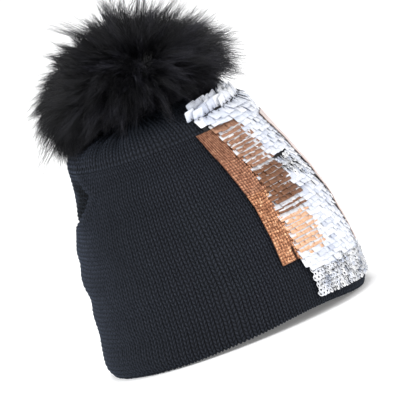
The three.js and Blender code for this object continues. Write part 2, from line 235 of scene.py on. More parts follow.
def new_mesh(name, verts, faces, attrs=None, smooth_shade=True, mats=None, mat_index=None, uv=None):
    """faces: an (n, 4) or (n, 3) int array, or a list of both kinds of array."""
    groups = faces if isinstance(faces, list) else [faces]
    groups = [np.asarray(g, np.int32) for g in groups if len(g)]
    loops = np.concatenate([g.ravel() for g in groups])
    sizes = np.concatenate([np.full(len(g), g.shape[1], np.int32) for g in groups])
    starts = np.concatenate([[0], np.cumsum(sizes)[:-1]]).astype(np.int32)
    me = bpy.data.meshes.new(name)
    me.vertices.add(len(verts))
    me.vertices.foreach_set("co", np.asarray(verts, np.float32).ravel())
    me.loops.add(len(loops))
    me.loops.foreach_set("vertex_index", loops.astype(np.int32))
    me.polygons.add(len(sizes))
    me.polygons.foreach_set("loop_start", starts)
    me.polygons.foreach_set("loop_total", sizes)
    me.update(calc_edges=True)
    me.validate()
    if smooth_shade:
        me.polygons.foreach_set("use_smooth", np.ones(len(me.polygons), bool))
    if uv is not None:
        at = np.empty(len(me.loops), np.int32)
        me.loops.foreach_get("vertex_index", at)
        me.uv_layers.new(name="OFBake").data.foreach_set("uv", np.asarray(uv, np.float32)[at].ravel())
    for key, data in (attrs or {}).items():
        data = np.asarray(data, np.float32)
        if data.ndim == 1:
            a = me.attributes.new(key, "FLOAT", "POINT")
            a.data.foreach_set("value", data)
        else:
            a = me.attributes.new(key, "FLOAT_VECTOR", "POINT")
            a.data.foreach_set("vector", data.ravel())
    ob = bpy.data.objects.new(name, me)
    bpy.context.scene.collection.objects.link(ob)
    for m in mats or []:
        me.materials.append(m)
    if mat_index is not None:
        me.polygons.foreach_set("material_index", np.asarray(mat_index, np.int32))
    me.update()
    return ob


def grid_faces(nv, nu, closed_u=False, base=0, flip=False):
    """Quads over a grid with nv+1 rows and nu+1 columns (nu when closed)."""
    w = nu if closed_u else nu + 1
    v, u = np.meshgrid(np.arange(nv), np.arange(nu), indexing="ij")
    a = base + v * w + u
    b = base + v * w + (u + 1) % w
    c = base + (v + 1) * w + (u + 1) % w
    d = base + (v + 1) * w + u
    q = np.stack([a, b, c, d], -1).reshape(-1, 4)
    return q[:, ::-1] if flip else q


def solid_sheet(name, top, under, attrs=None, mats=None):
    """A closed sheet from two grids of points (nv+1, nu+1, 3): outer and inner."""
    nv, nu = top.shape[0] - 1, top.shape[1] - 1
    w, n = nu + 1, (nu + 1) * (nv + 1)
    verts = np.concatenate([top.reshape(-1, 3), under.reshape(-1, 3)])
    faces = [grid_faces(nv, nu, flip=True), grid_faces(nv, nu, base=n)]
    k = np.arange(nu)
    faces.append(np.stack([k, k + 1, n + k + 1, n + k], -1))
    k = nv * w + np.arange(nu)
    faces.append(np.stack([n + k, n + k + 1, k + 1, k], -1))
    k = np.arange(nv) * w
    faces.append(np.stack([n + k, n + k + w, k + w, k], -1))
    k = np.arange(nv) * w + nu
    faces.append(np.stack([k, k + w, n + k + w, n + k], -1))
    if attrs:
        attrs = {a: np.concatenate([v.reshape(n, *v.shape[2:]), v.reshape(n, *v.shape[2:])])
                 for a, v in attrs.items()}
    return new_mesh(name, verts, np.concatenate(faces), attrs, mats=mats)


def turned(name, prof, mats, segs=72, axis_x=None):
    """A closed turned piece from [radius, height] points in mm, with eased corners."""
    prof = [np.array(p, float) for p in prof]
    ends = prof[0][0] < 1e-6
    pts = []
    n = len(prof)
    for i, p in enumerate(prof):
        a, b = prof[i - 1], prof[(i + 1) % n]
        if ends and (i == 0 or i == n - 1):
            pts.append(p)
            continue
        la, lb = np.linalg.norm(a - p), np.linalg.norm(b - p)
        e = min(0.16, la * 0.3, lb * 0.3)
        pa, pb = p + (a - p) / la * e, p + (b - p) / lb * e
        pts += [pa, (pa + pb) / 4 + p / 2, pb]
    pts = np.array(pts)
    ang = np.arange(segs) * 2 * math.pi / segs
    ax = AXIS_X if axis_x is None else axis_x
    if ends:
        body = pts[1:-1]
        ring = np.stack([body[:, None, 0] * np.cos(ang) + ax, body[:, None, 0] * np.sin(ang),
                         np.repeat(body[:, None, 1], segs, 1)], -1)
        verts = np.concatenate([ring.reshape(-1, 3), [[ax, 0, pts[0][1]], [ax, 0, pts[-1][1]]]]) * MM
        m = len(body)
        f = [grid_faces(m - 1, segs, closed_u=True)]
        k = np.arange(segs)
        lo = np.stack([np.full(segs, m * segs), (k + 1) % segs, k], -1)
        hi = np.stack([np.full(segs, m * segs + 1), (m - 1) * segs + k, (m - 1) * segs + (k + 1) % segs], -1)
        ob = new_mesh(name, verts, [f[0], np.concatenate([lo, hi])], mats=mats)
    else:
        ring = np.stack([pts[:, None, 0] * np.cos(ang) + ax, pts[:, None, 0] * np.sin(ang),
                         np.repeat(pts[:, None, 1], segs, 1)], -1)
        verts = ring.reshape(-1, 3) * MM
        m = len(pts)
        f = grid_faces(m - 1, segs, closed_u=True)
        k = np.arange(segs)
        last = np.stack([(m - 1) * segs + k, (m - 1) * segs + (k + 1) % segs, (k + 1) % segs, k], -1)
        ob = new_mesh(name, verts, np.concatenate([f, last]), mats=mats)
    fix_normals(ob)
    return ob


def fix_normals(ob):
    """Points a closed mesh's faces out."""
    import bmesh
    bm = bmesh.new()
    bm.from_mesh(ob.data)
    bmesh.ops.recalc_face_normals(bm, faces=bm.faces[:])
    bm.to_mesh(ob.data)
    bm.free()
    ob.data.update()


def stamp(template, faces, origins, ex, ey, ez, attrs=None):
    """Copies of a template (k, 3) in metres, at origins with the given axes."""
    n, k = len(origins), len(template)
    v = (origins[:, None, :] + template[None, :, 0:1] * ex[:, None, :]
         + template[None, :, 1:2] * ey[:, None, :] + template[None, :, 2:3] * ez[:, None, :])
    out = []
    for f in faces:
        f = np.asarray(f, np.int64)
        out.append((f[None, :, :] + (np.arange(n) * k)[:, None, None]).reshape(-1, f.shape[1]))
    return v.reshape(-1, 3), out


# ------------------------------------------------------------------ materials
def material(name):
    m = bpy.data.materials.new(name)
    m.use_nodes = True
    nt = m.node_tree
    b = nt.nodes["Principled BSDF"]
    return m, nt, b


def node(nt, kind, **kw):
    n = nt.nodes.new(kind)
    for k, v in kw.items():
        if k == "inputs":
            for name, val in v.items():
                n.inputs[name].default_value = val
        else:
            setattr(n, k, v)
    return n


def ramp(nt, source, stops, interpolation="LINEAR"):
    r = nt.nodes.new("ShaderNodeValToRGB")
    r.color_ramp.interpolation = interpolation
    el = r.color_ramp.elements
    while len(el) < len(stops):
        el.new(0.5)
    for e, (p, c) in zip(el, stops):
        e.position = p
        e.color = (*c, 1) if len(c) == 3 else c
    nt.links.new(source, r.inputs["Fac"])
    return r.outputs["Color"]


def mixc(nt, fac, a, b, blend="MIX"):
    m = nt.nodes.new("ShaderNodeMix")
    m.data_type = "RGBA"
    m.blend_type = blend
    for socket, val in (("Factor", fac), ("A", a), ("B", b)):
        s = [i for i in m.inputs if i.name == socket and i.enabled][0]
        if hasattr(val, "is_linked") or hasattr(val, "links"):
            nt.links.new(val, s)
        elif isinstance(val, (int, float)):
            s.default_value = val
        else:
            s.default_value = (*val, 1)
    return [o for o in m.outputs if o.enabled][0]


def math_node(nt, op, a, b=None, c=None, clamp=False):
    m = nt.nodes.new("ShaderNodeMath")
    m.operation = op
    m.use_clamp = clamp
    for i, v in enumerate((a, b, c)):
        if v is None:
            continue
        if isinstance(v, (int, float)):
            m.inputs[i].default_value = v
        else:
            nt.links.new(v, m.inputs[i])
    return m.outputs[0]


def noise(nt, scale, detail=3, rough=0.5, vector=None, distortion=0.0):
    n = nt.nodes.new("ShaderNodeTexNoise")
    n.inputs["Scale"].default_value = scale
    n.inputs["Detail"].default_value = detail
    n.inputs["Roughness"].default_value = rough
    n.inputs["Distortion"].default_value = distortion
    if vector is None:
        vector = nt.nodes.new("ShaderNodeTexCoord").outputs["Object"]
    nt.links.new(vector, n.inputs["Vector"])
    return n.outputs["Fac"]


def attr(nt, name, out="Fac"):
    a = nt.nodes.new("ShaderNodeAttribute")
    a.attribute_name = name
    return a.outputs[out]


def bump_node(nt, height, strength, distance, b):
    n = nt.nodes.new("ShaderNodeBump")
    n.inputs["Strength"].default_value = strength
    n.inputs["Distance"].default_value = distance
    nt.links.new(height, n.inputs["Height"])
    nt.links.new(n.outputs["Normal"], b.inputs["Normal"])
    return n


def link(nt, a, b):
    nt.links.new(a, b)


def knit_material():
    m, nt, b = material("knit_wool")
    relief = attr(nt, "relief")
    yarn = nt.nodes.new("ShaderNodeAttribute")
    yarn.attribute_name = "yarn"
    sep = nt.nodes.new("ShaderNodeSeparateXYZ")
    link(nt, yarn.outputs["Vector"], sep.inputs[0])
    big = noise(nt, 14, 3)
    fine = noise(nt, 900, 4, 0.65)
    mid = noise(nt, 160, 3, 0.6)
    base = ramp(nt, big, [(0.30, (0.0105, 0.0122, 0.0170)), (0.70, (0.0150, 0.0172, 0.0240))])
    flecks = ramp(nt, fine, [(0.35, (0.55, 0.55, 0.58)), (0.55, (1, 1, 1)), (0.8, (1.9, 1.9, 1.85))])
    c = mixc(nt, 0.75, base, flecks, "MULTIPLY")
    tone = ramp(nt, mid, [(0.3, (0.82, 0.82, 0.84)), (0.7, (1.16, 1.16, 1.14))])
    c = mixc(nt, 0.8, c, tone, "MULTIPLY")
    # painted shade and highlight from the stitch relief: valleys between the legs painted near black, ridge tops
    # painted lighter
    stitch_valley_shade_and_highlight = ramp(nt, relief, [(0.0, (0.03, 0.03, 0.04)), (0.35, (0.30, 0.30, 0.32)), (0.75, (1.0, 1.0, 1.0)), (1.0, (1.7, 1.7, 1.72))])
    c = mixc(nt, 1.0, c, stitch_valley_shade_and_highlight, "MULTIPLY")
    # painted shade and light from the yarn attribute's third value: dark in the tuck's fold and the crown's pucker,
    # darker valleys and lighter, bluish ridge tops on the left side
    c = mixc(nt, 1.0, c, ramp(nt, sep.outputs[2], [(0.04, (0.05, 0.05, 0.05)), (0.44, (0.42, 0.42, 0.42)), (0.74, (1, 1, 1)), (1.0, (1.75, 1.82, 2.0))]), "MULTIPLY")
    link(nt, c, b.inputs["Base Color"])
    link(nt, ramp(nt, fine, [(0.3, (0.95,) * 3), (0.8, (0.78,) * 3)]), b.inputs["Roughness"])
    b.inputs["Specular IOR Level"].default_value = 0.25
    b.inputs["Sheen Weight"].default_value = 0.09
    b.inputs["Sheen Roughness"].default_value = 0.55
    b.inputs["Sheen Tint"].default_value = (0.42, 0.60, 0.90, 1)
    # plies twisted round each leg, and loose fibres
    ply = math_node(nt, "ADD", math_node(nt, "MULTIPLY", sep.outputs[0], 2.4),
                    math_node(nt, "MULTIPLY", sep.outputs[1], 3.0))
    ply = math_node(nt, "SINE", math_node(nt, "MULTIPLY", ply, 6.2832))
    h = math_node(nt, "ADD", math_node(nt, "MULTIPLY", ply, 0.45), math_node(nt, "MULTIPLY", fine, 1.3))
    bump_node(nt, h, 0.55, 0.00022, b)
    return m


def fleece_material():
    m, nt, b = material("fleece_pile")
    n1 = noise(nt, 320, 5, 0.7)
    n2 = noise(nt, 30, 3)
    c = ramp(nt, n1, [(0.3, (0.012, 0.012, 0.016)), (0.75, (0.040, 0.041, 0.050))])
    c = mixc(nt, 0.6, c, ramp(nt, n2, [(0.3, (0.75,) * 3), (0.7, (1.15,) * 3)]), "MULTIPLY")
    link(nt, c, b.inputs["Base Color"])
    b.inputs["Roughness"].default_value = 0.95
    b.inputs["Sheen Weight"].default_value = 0.5
    b.inputs["Sheen Roughness"].default_value = 0.4
    bump_node(nt, n1, 0.8, 0.0006, b)
    return m


def net_material():
    m, nt, b = material("backing_net")
    n1 = noise(nt, 700, 3)
    vor = node(nt, "ShaderNodeTexVoronoi", inputs={"Scale": 900})
    link(nt, nt.nodes.new("ShaderNodeTexCoord").outputs["Object"], vor.inputs["Vector"])
    c = ramp(nt, vor.outputs["Distance"], [(0.2, (0.016, 0.016, 0.019)), (0.6, (0.006, 0.006, 0.008))])
    c = mixc(nt, 0.5, c, ramp(nt, n1, [(0.3, (0.7,) * 3), (0.7, (1.2,) * 3)]), "MULTIPLY")
    link(nt, c, b.inputs["Base Color"])
    b.inputs["Roughness"].default_value = 0.8
    bump_node(nt, vor.outputs["Distance"], 0.5, 0.0002, b)
    return m


def thread_material():
    m, nt, b = material("black_thread")
    n1 = noise(nt, 2500, 2)
    link(nt, ramp(nt, n1, [(0.3, (0.006, 0.006, 0.008)), (0.7, (0.02, 0.02, 0.024))]), b.inputs["Base Color"])
    b.inputs["Roughness"].default_value = 0.6
    bump_node(nt, n1, 0.4, 0.0001, b)
    return m


def white_sequin_material():
    m, nt, b = material("white_sequin_film")
    loc = nt.nodes.new("ShaderNodeAttribute")
    loc.attribute_name = "loc"
    sep = nt.nodes.new("ShaderNodeSeparateXYZ")
    link(nt, loc.outputs["Vector"], sep.inputs[0])
    n1 = noise(nt, 260, 3)
    base = ramp(nt, sep.outputs[2], [(0.0, (0.52, 0.56, 0.66)), (0.25, (0.80, 0.82, 0.88)), (0.6, (0.68, 0.72, 0.80)), (1.0, (0.90, 0.90, 0.91))])
    c = mixc(nt, 0.35, base, ramp(nt, n1, [(0.3, (0.90, 0.92, 0.97)), (0.7, (1.0, 1.0, 1.0))]), "MULTIPLY")
    # painted shade: darker towards the stitched edge, where the row above hangs over it, and a little darker right at
    # the free edge
    c = mixc(nt, 1.0, c, ramp(nt, sep.outputs[1], [(0.0, (0.60, 0.62, 0.68)), (0.36, (0.98, 0.98, 0.99)), (0.97, (1, 1, 1)), (1.0, (0.88, 0.90, 0.93))]), "MULTIPLY")
    link(nt, c, b.inputs["Base Color"])
    link(nt, ramp(nt, n1, [(0.3, (0.22,) * 3), (0.7, (0.38,) * 3)]), b.inputs["Roughness"])
    b.inputs["Specular IOR Level"].default_value = 0.55
    b.inputs["Subsurface Weight"].default_value = 0.08
    b.inputs["Subsurface Radius"].default_value = (0.0012, 0.0012, 0.0014)
    bump_node(nt, noise(nt, 90, 2), 0.12, 0.0006, b)
    return m


def copper_sequin_material(name, dark, light, metal, cover, gaps, ragged, short):
    """White film with a copper foil print along each row's free edge, missing in slivers."""
    m, nt, b = material(name)
    loc = nt.nodes.new("ShaderNodeAttribute")
    loc.attribute_name = "loc"
    sep = nt.nodes.new("ShaderNodeSeparateXYZ")
    link(nt, loc.outputs["Vector"], sep.inputs[0])
    st = nt.nodes.new("ShaderNodeAttribute")
    st.attribute_name = "strip"
    sst = nt.nodes.new("ShaderNodeSeparateXYZ")
    link(nt, st.outputs["Vector"], sst.inputs[0])
    flat = nt.nodes.new("ShaderNodeCombineXYZ")
    link(nt, math_node(nt, "MULTIPLY", sst.outputs[0], 0.075), flat.inputs[0])
    link(nt, math_node(nt, "MULTIPLY", sst.outputs[1], 0.80), flat.inputs[1])
    long_noise = noise(nt, 1.0, 2, 0.55, vector=flat.outputs[0])
    n1 = noise(nt, 520, 3, 0.6)
    n2 = noise(nt, 260, 2)
    # loc.y runs 0 at the stitched edge to 1 at the free edge
    edge = math_node(nt, "ADD", sep.outputs[1], math_node(nt, "MULTIPLY", math_node(nt, "SUBTRACT", long_noise, 0.5), gaps))
    edge = math_node(nt, "ADD", edge, math_node(nt, "MULTIPLY", math_node(nt, "SUBTRACT", n2, 0.5), 0.10))
    foil = ramp(nt, edge, [(cover - 0.012, (0, 0, 0)), (cover + 0.012, (1, 1, 1))])
    # the print stops short of the strip's far edge, row by row
    far = math_node(nt, "SUBTRACT", math_node(nt, "SUBTRACT", sst.outputs[2], sst.outputs[0]), short)
    far = math_node(nt, "ADD", far, math_node(nt, "MULTIPLY", math_node(nt, "SUBTRACT", long_noise, 0.5), ragged))
    stops = ramp(nt, far, [(0.0, (0, 0, 0)), (0.12, (1, 1, 1))])
    mask = mixc(nt, 1.0, foil, stops, "MULTIPLY")
    film = ramp(nt, sep.outputs[2], [(0.0, (0.56, 0.57, 0.62)), (1.0, (0.74, 0.74, 0.76))])
    copper = ramp(nt, n1, [(0.25, dark), (0.6, light)])
    c = mixc(nt, mask, film, copper)
    link(nt, c, b.inputs["Base Color"])
    link(nt, mixc(nt, mask, (0, 0, 0), (metal, metal, metal)), b.inputs["Metallic"])
    link(nt, ramp(nt, n1, [(0.3, (0.30,) * 3), (0.7, (0.48,) * 3)]), b.inputs["Roughness"])
    bump_node(nt, n1, 0.35, 0.0003, b)
    return m


def silver_material():
    m, nt, b = material("silver_cup_sequin")
    loc = nt.nodes.new("ShaderNodeAttribute")
    loc.attribute_name = "loc"
    sep = nt.nodes.new("ShaderNodeSeparateXYZ")
    link(nt, loc.outputs["Vector"], sep.inputs[0])
    n1 = noise(nt, 500, 2)
    base = ramp(nt, sep.outputs[2], [(0.0, (0.70, 0.75, 0.87)), (0.35, (0.96, 0.97, 1.0)), (1.0, (1.0, 1.0, 1.0))])
    c = mixc(nt, 0.3, base, ramp(nt, n1, [(0.3, (0.85, 0.87, 0.92)), (0.7, (1, 1, 1))]), "MULTIPLY")
    link(nt, c, b.inputs["Base Color"])
    b.inputs["Metallic"].default_value = 0.48
    link(nt, ramp(nt, n1, [(0.3, (0.16,) * 3), (0.7, (0.30,) * 3)]), b.inputs["Roughness"])
    bump_node(nt, n1, 0.1, 0.0002, b)
    return m


def copper_ribbon_material(name, dark, mid, light):
    m, nt, b = material(name)
    relief = attr(nt, "relief")
    n1 = noise(nt, 380, 3, 0.6)
    n2 = noise(nt, 1400, 2)
    n3 = noise(nt, 60, 2)
    c = ramp(nt, n1, [(0.28, dark), (0.52, mid), (0.78, light)])
    # painted shade and highlight from the relief: gaps between the puffed cells painted dark, cell tops painted lighter
    c = mixc(nt, 1.0, c, ramp(nt, relief, [(0.0, (0.05, 0.04, 0.04)), (0.12, (0.42, 0.36, 0.34)), (0.5, (0.85, 0.82, 0.80)), (1.0, (1.55, 1.5, 1.42))]), "MULTIPLY")
    c = mixc(nt, 0.5, c, ramp(nt, n3, [(0.3, (0.85,) * 3), (0.7, (1.12,) * 3)]), "MULTIPLY")
    link(nt, c, b.inputs["Base Color"])
    b.inputs["Metallic"].default_value = 0.85
    link(nt, ramp(nt, n2, [(0.3, (0.30,) * 3), (0.7, (0.50,) * 3)]), b.inputs["Roughness"])
    bump_node(nt, n2, 0.45, 0.0002, b)
    return m


def rose_material():
    m, nt, b = material("rose_ribbon_satin")
    uv = nt.nodes.new("ShaderNodeAttribute")
    uv.attribute_name = "loc"
    sep = nt.nodes.new("ShaderNodeSeparateXYZ")
    link(nt, uv.outputs["Vector"], sep.inputs[0])
    n1 = noise(nt, 120, 3)
    ribs = math_node(nt, "SINE", math_node(nt, "MULTIPLY", sep.outputs[1], 2300.0))
    c = ramp(nt, n1, [(0.3, (0.50, 0.385, 0.36)), (0.7, (0.66, 0.54, 0.51))])
    c = mixc(nt, 0.7, c, ramp(nt, sep.outputs[0], [(0.0, (0.72, 0.60, 0.52)), (0.10, (1, 1, 1)), (0.88, (1, 1, 1)), (1.0, (0.8, 0.7, 0.66))]), "MULTIPLY")
    link(nt, c, b.inputs["Base Color"])
    b.inputs["Roughness"].default_value = 0.42
    b.inputs["Sheen Weight"].default_value = 0.4
    b.inputs["Sheen Roughness"].default_value = 0.3
    bump_node(nt, math_node(nt, "ADD", math_node(nt, "MULTIPLY", ribs, 0.5), n1), 0.25, 0.0002, b)
    return m


def fur_material():
    m, nt, b = material("black_fur_hair")
    loc = nt.nodes.new("ShaderNodeAttribute")
    loc.attribute_name = "loc"
    sep = nt.nodes.new("ShaderNodeSeparateXYZ")
    link(nt, loc.outputs["Vector"], sep.inputs[0])
    n1 = noise(nt, 60, 2)
    c = ramp(nt, sep.outputs[1], [(0.0, (0.0018, 0.0018, 0.0024)), (0.6, (0.0042, 0.0042, 0.0056)), (1.0, (0.0130, 0.0130, 0.0170))])
    # tone from the hairs' loc: random lightness per tuft and hair, with painted light on the pompom's front-right
    c = mixc(nt, 1.0, c, ramp(nt, sep.outputs[2], [(0.0, (0.5, 0.5, 0.52)), (0.62, (1.1, 1.1, 1.13)), (0.82, (2.4, 2.4, 2.5)), (1.0, (5.0, 5.0, 5.3))]), "MULTIPLY")
    c = mixc(nt, 0.5, c, ramp(nt, n1, [(0.3, (0.7,) * 3), (0.7, (1.3,) * 3)]), "MULTIPLY")
    link(nt, c, b.inputs["Base Color"])
    b.inputs["Roughness"].default_value = 0.34
    b.inputs["Specular IOR Level"].default_value = 0.24
    return m


def pelt_material():
    m, nt, b = material("fur_underwool")
    n1 = noise(nt, 240, 5, 0.7, distortion=0.4)
    link(nt, ramp(nt, n1, [(0.3, (0.002, 0.002, 0.0025)), (0.75, (0.008, 0.008, 0.010))]), b.inputs["Base Color"])
    b.inputs["Roughness"].default_value = 0.9
    bump_node(nt, n1, 1.0, 0.0015, b)
    return m


def metal_material(name, dark, light, rough):
    m, nt, b = material(name)
    n1 = noise(nt, 450, 3)
    n2 = noise(nt, 60, 3)
    link(nt, ramp(nt, n2, [(0.3, dark), (0.7, light)]), b.inputs["Base Color"])
    b.inputs["Metallic"].default_value = 1.0
    link(nt, ramp(nt, n1, [(0.3, (rough,) * 3), (0.7, (rough + 0.16,) * 3)]), b.inputs["Roughness"])
    bump_node(nt, n1, 0.08, 0.0001, b)
    return m


def felt_material():
    m, nt, b = material("felt_disc")
    n1 = noise(nt, 600, 5, 0.75, distortion=1.2)
    link(nt, ramp(nt, n1, [(0.3, (0.008, 0.008, 0.010)), (0.75, (0.030, 0.030, 0.034))]), b.inputs["Base Color"])
    b.inputs["Roughness"].default_value = 1.0
    b.inputs["Sheen Weight"].default_value = 0.3
    bump_node(nt, n1, 0.9, 0.0004, b)
    return m


def leather_material():
    m, nt, b = material("base_leather")
    vor = node(nt, "ShaderNodeTexVoronoi", inputs={"Scale": 620})
    link(nt, nt.nodes.new("ShaderNodeTexCoord").outputs["Object"], vor.inputs["Vector"])
    n1 = noise(nt, 120, 3)
    c = ramp(nt, vor.outputs["Distance"], [(0.1, (0.010, 0.009, 0.009)), (0.6, (0.022, 0.019, 0.018))])
    c = mixc(nt, 0.6, c, ramp(nt, n1, [(0.3, (0.75,) * 3), (0.7, (1.25,) * 3)]), "MULTIPLY")
    link(nt, c, b.inputs["Base Color"])
    link(nt, ramp(nt, n1, [(0.3, (0.45,) * 3), (0.7, (0.65,) * 3)]), b.inputs["Roughness"])
    bump_node(nt, vor.outputs["Distance"], 0.5, 0.0003, b)
    return m


def filling_material():
    m, nt, b = material("polyester_filling")
    n1 = noise(nt, 200, 6, 0.7, distortion=1.5)
    link(nt, ramp(nt, n1, [(0.3, (0.60, 0.59, 0.56)), (0.75, (0.82, 0.81, 0.79))]), b.inputs["Base Color"])
    b.inputs["Roughness"].default_value = 1.0
    bump_node(nt, n1, 1.0, 0.001, b)
    return m


def label_material():
    m, nt, b = material("label_satin")
    n1 = noise(nt, 900, 2)
    wave = node(nt, "ShaderNodeTexWave", inputs={"Scale": 900, "Distortion": 0.3})
    link(nt, nt.nodes.new("ShaderNodeTexCoord").outputs["Object"], wave.inputs["Vector"])
    link(nt, ramp(nt, n1, [(0.3, (0.72, 0.71, 0.68)), (0.7, (0.86, 0.85, 0.82))]), b.inputs["Base Color"])
    b.inputs["Roughness"].default_value = 0.45
    b.inputs["Sheen Weight"].default_value = 0.3
    bump_node(nt, wave.outputs["Fac"], 0.2, 0.0001, b)
    return m


KNIT = knit_material()
FLEECE = fleece_material()
NET = net_material()
THREAD = thread_material()
WHITE = white_sequin_material()
COPPER_LOW = copper_sequin_material("peach_foil_sequin", (0.52, 0.27, 0.15), (0.80, 0.48, 0.30), 0.30, 0.72, 0.80, 7.0, 1.0)
COPPER_MID = copper_sequin_material("brown_foil_sequin", (0.11, 0.046, 0.023), (0.23, 0.105, 0.055), 0.6, 0.56, 0.75, 3.0, -2.5)
COPPER_TOP = copper_sequin_material("mixed_foil_sequin", (0.19, 0.088, 0.050), (0.38, 0.20, 0.125), 0.5, 0.66, 0.95, 6.0, 0.2)
SILVER = silver_material()
RIBBON_TOP = copper_ribbon_material("copper_lame_upper", (0.20, 0.088, 0.054), (0.36, 0.175, 0.110), (0.62, 0.36, 0.23))
RIBBON_LOW = copper_ribbon_material("copper_lame_lower", (0.18, 0.072, 0.040), (0.44, 0.215, 0.122), (0.98, 0.66, 0.42))
ROSE = rose_material()
FUR = fur_material()
PELT = pelt_material()
STEEL = metal_material("snap_steel", (0.28, 0.29, 0.31), (0.42, 0.43, 0.46), 0.28)
SPRING = metal_material("spring_wire", (0.45, 0.46, 0.48), (0.62, 0.63, 0.66), 0.16)
FELT = felt_material()
LEATHER = leather_material()
FILLING = filling_material()
LABEL = label_material()

# ------------------------------------------------------------------- the knit
WALES = 144
COURSE = 3.0  # mm
PER_WALE = 8
PER_COURSE = 4
SLANT = 0.9  # how far, in courses, a leg climbs from the wale's middle to its edge
S_HEM = float(_S[-1])


def knit_shell():
    """Every stitch as two slanted legs, raised off a sheet that rolls under at the rim."""
    roll_r = 2.0
    t_edge = 1.0  # the roll starts here
    s_edge = float(s_of_t(t_edge))
    s_end = s_edge + math.pi * roll_r + 7.0
    n_rows = int(round(s_end / COURSE * PER_COURSE))
    j = np.arange(n_rows + 1)
    s0 = j / PER_COURSE * COURSE
    k = np.arange(WALES * PER_WALE)
    u = k / PER_WALE
    S0, K = np.meshgrid(s0, k, indexing="ij")
    J = np.broadcast_to(j[:, None], S0.shape)
    # wales are taken in towards the crown, so a stitch keeps its width
    per = np.full(S0.shape, PER_WALE)
    even = np.ones(S0.shape)
    for below, columns in ((68.0, 12), (45.0, 18), (32.0, 24), (21.0, 36)):
        per = np.where(S0 < below, columns, per)
        even = even * (1 - bump(S0, below, 4.5))
    climb = np.abs(2 * (K / per - np.floor(K / per)) - 1)
    taper = smooth(S0, 3, 16) * (0.12 + 0.88 * even)
    jit = 0.25 * waves(K / PER_WALE * 2.5, S0, 31, n=9, fphi=(3, 23), fz=(0.01, 0.08))
    s = S0 - SLANT * COURSE * climb * taper + jit * taper * 0.5
    s = np.clip(s, 0, s_end)
    turn = 360.0 * u / WALES
    turn = turn + 18.0 * np.sin(np.radians(turn + 60.0))
    phi = turn[None, :] + 0.10 * waves(K / PER_WALE * 2.5, S0, 33, n=9, fphi=(5, 29), fz=(0.01, 0.06))
    phi = np.broadcast_to(phi, S0.shape)
    # relief of one leg: round across, with a groove where the next leg starts
    pl = (K % (per // 2)) / (per // 2)
    wl = (J % PER_COURSE) / PER_COURSE
    across = np.sin(math.pi * pl) ** 0.7
    across = np.where((pl == 0) & (K % per != 0), 0.22, across)
    along = np.array([0.34, 0.84, 1.0, 0.82])[(J % PER_COURSE)]
    stitch_id = (np.floor(K / (per / 2)) * 7919 + np.floor(J / PER_COURSE) * 104729) % 997
    vary = 0.9 + 0.2 * (np.sin(stitch_id * 12.9898) * 43758.5453 % 1.0)
    relief = across * along
    amp = 1.5 * (0.45 + 0.55 * smooth(S0, 8, 22)) * vary * (1 + 0.25 * bump(wrap(phi), -62, 60))
    h = relief * amp - 1.05
    h = np.where(S0 < 14, np.minimum(h, 0.1), h)
    # the sheet itself, then the roll
    t = t_of_s(np.minimum(s, s_edge))
    row = profile(t)
    nr, nz = meridian_normal(t)
    z0, cx, a, b = row[..., 0], row[..., 1], row[..., 2], row[..., 3]
    over = np.maximum(s - s_edge, 0)
    ang = np.minimum(over / roll_r, math.pi)
    up = np.maximum(over - math.pi * roll_r, 0)
    rolled = s > s_edge
    row1 = profile(np.array(t_edge))
    cr, cz = -roll_r, 0.0  # roll centre, from the edge point, in (radius, height)
    dr = np.where(rolled, cr + roll_r * np.cos(ang), 0)
    dz = np.where(rolled, cz - roll_r * np.sin(ang) + up, 0)
    dr = dr - np.where(rolled, up * 0.10, 0)
    # blend the sheet's normal into the roll's
    nr2 = np.where(rolled, np.cos(ang), nr)
    nz2 = np.where(rolled, -np.sin(ang), nz)
    mixr = smooth(s, s_edge - 4, s_edge)
    nr1 = nr * (1 - mixr) + 1.0 * mixr
    nz1 = nz * (1 - mixr) + 0.0 * mixr
    nr3 = np.where(rolled, nr2, nr1)
    nz3 = np.where(rolled, nz2, nz1)
    d = h + np.where(rolled, 0, (form(phi, z0) + crown_pleats(phi, s) * clear_of_panel(phi)))
    r = np.radians(phi)
    x = cx + (a + dr + d * nr3) * spow(np.sin(r)) + SX
    y = -(b + dr + d * nr3) * spow(np.cos(r))
    z = z0 + dz + d * nz3
    z = z + hem_lift(phi, z)
    P = np.stack([x, y, z], -1) * MM
    # painted shade and light for the wool, returned as the third value of the yarn attribute: the tuck's groove painted
    # dark as a fold shadow, the pucker by the crown painted dark, and on the left side the stitch valleys painted
    # darker and the ridge tops lighter
    left, over, _ = tuck(wrap(phi), z0)
    deep = smooth(left, -1.5, 2.0) * (1 - smooth(left, 13, 27)) * smooth(z0 - over, -1.5, 2.0) * (1 - smooth(z0, 123, 137))
    side = bump(wrap(phi), -88, 58)
    shade = (1 - 0.98 * deep) * (1 - 0.75 * side * (1 - smooth(relief, 0.15, 0.80))) + 0.42 * side * smooth(relief, 0.55, 0.95) * (1 - deep)
    shade = np.clip(shade, 0, 1.34)
    shade = shade - 0.35 * np.exp(-((wrap(phi) + 19) / 3.0) ** 2 - ((s - 43) / 4.0) ** 2)
    # third value: the painted shade, scaled so that 0.74 leaves the wool's colour as it is
    return P, relief, np.stack([pl, wl + J // PER_COURSE, shade * 0.74], -1)


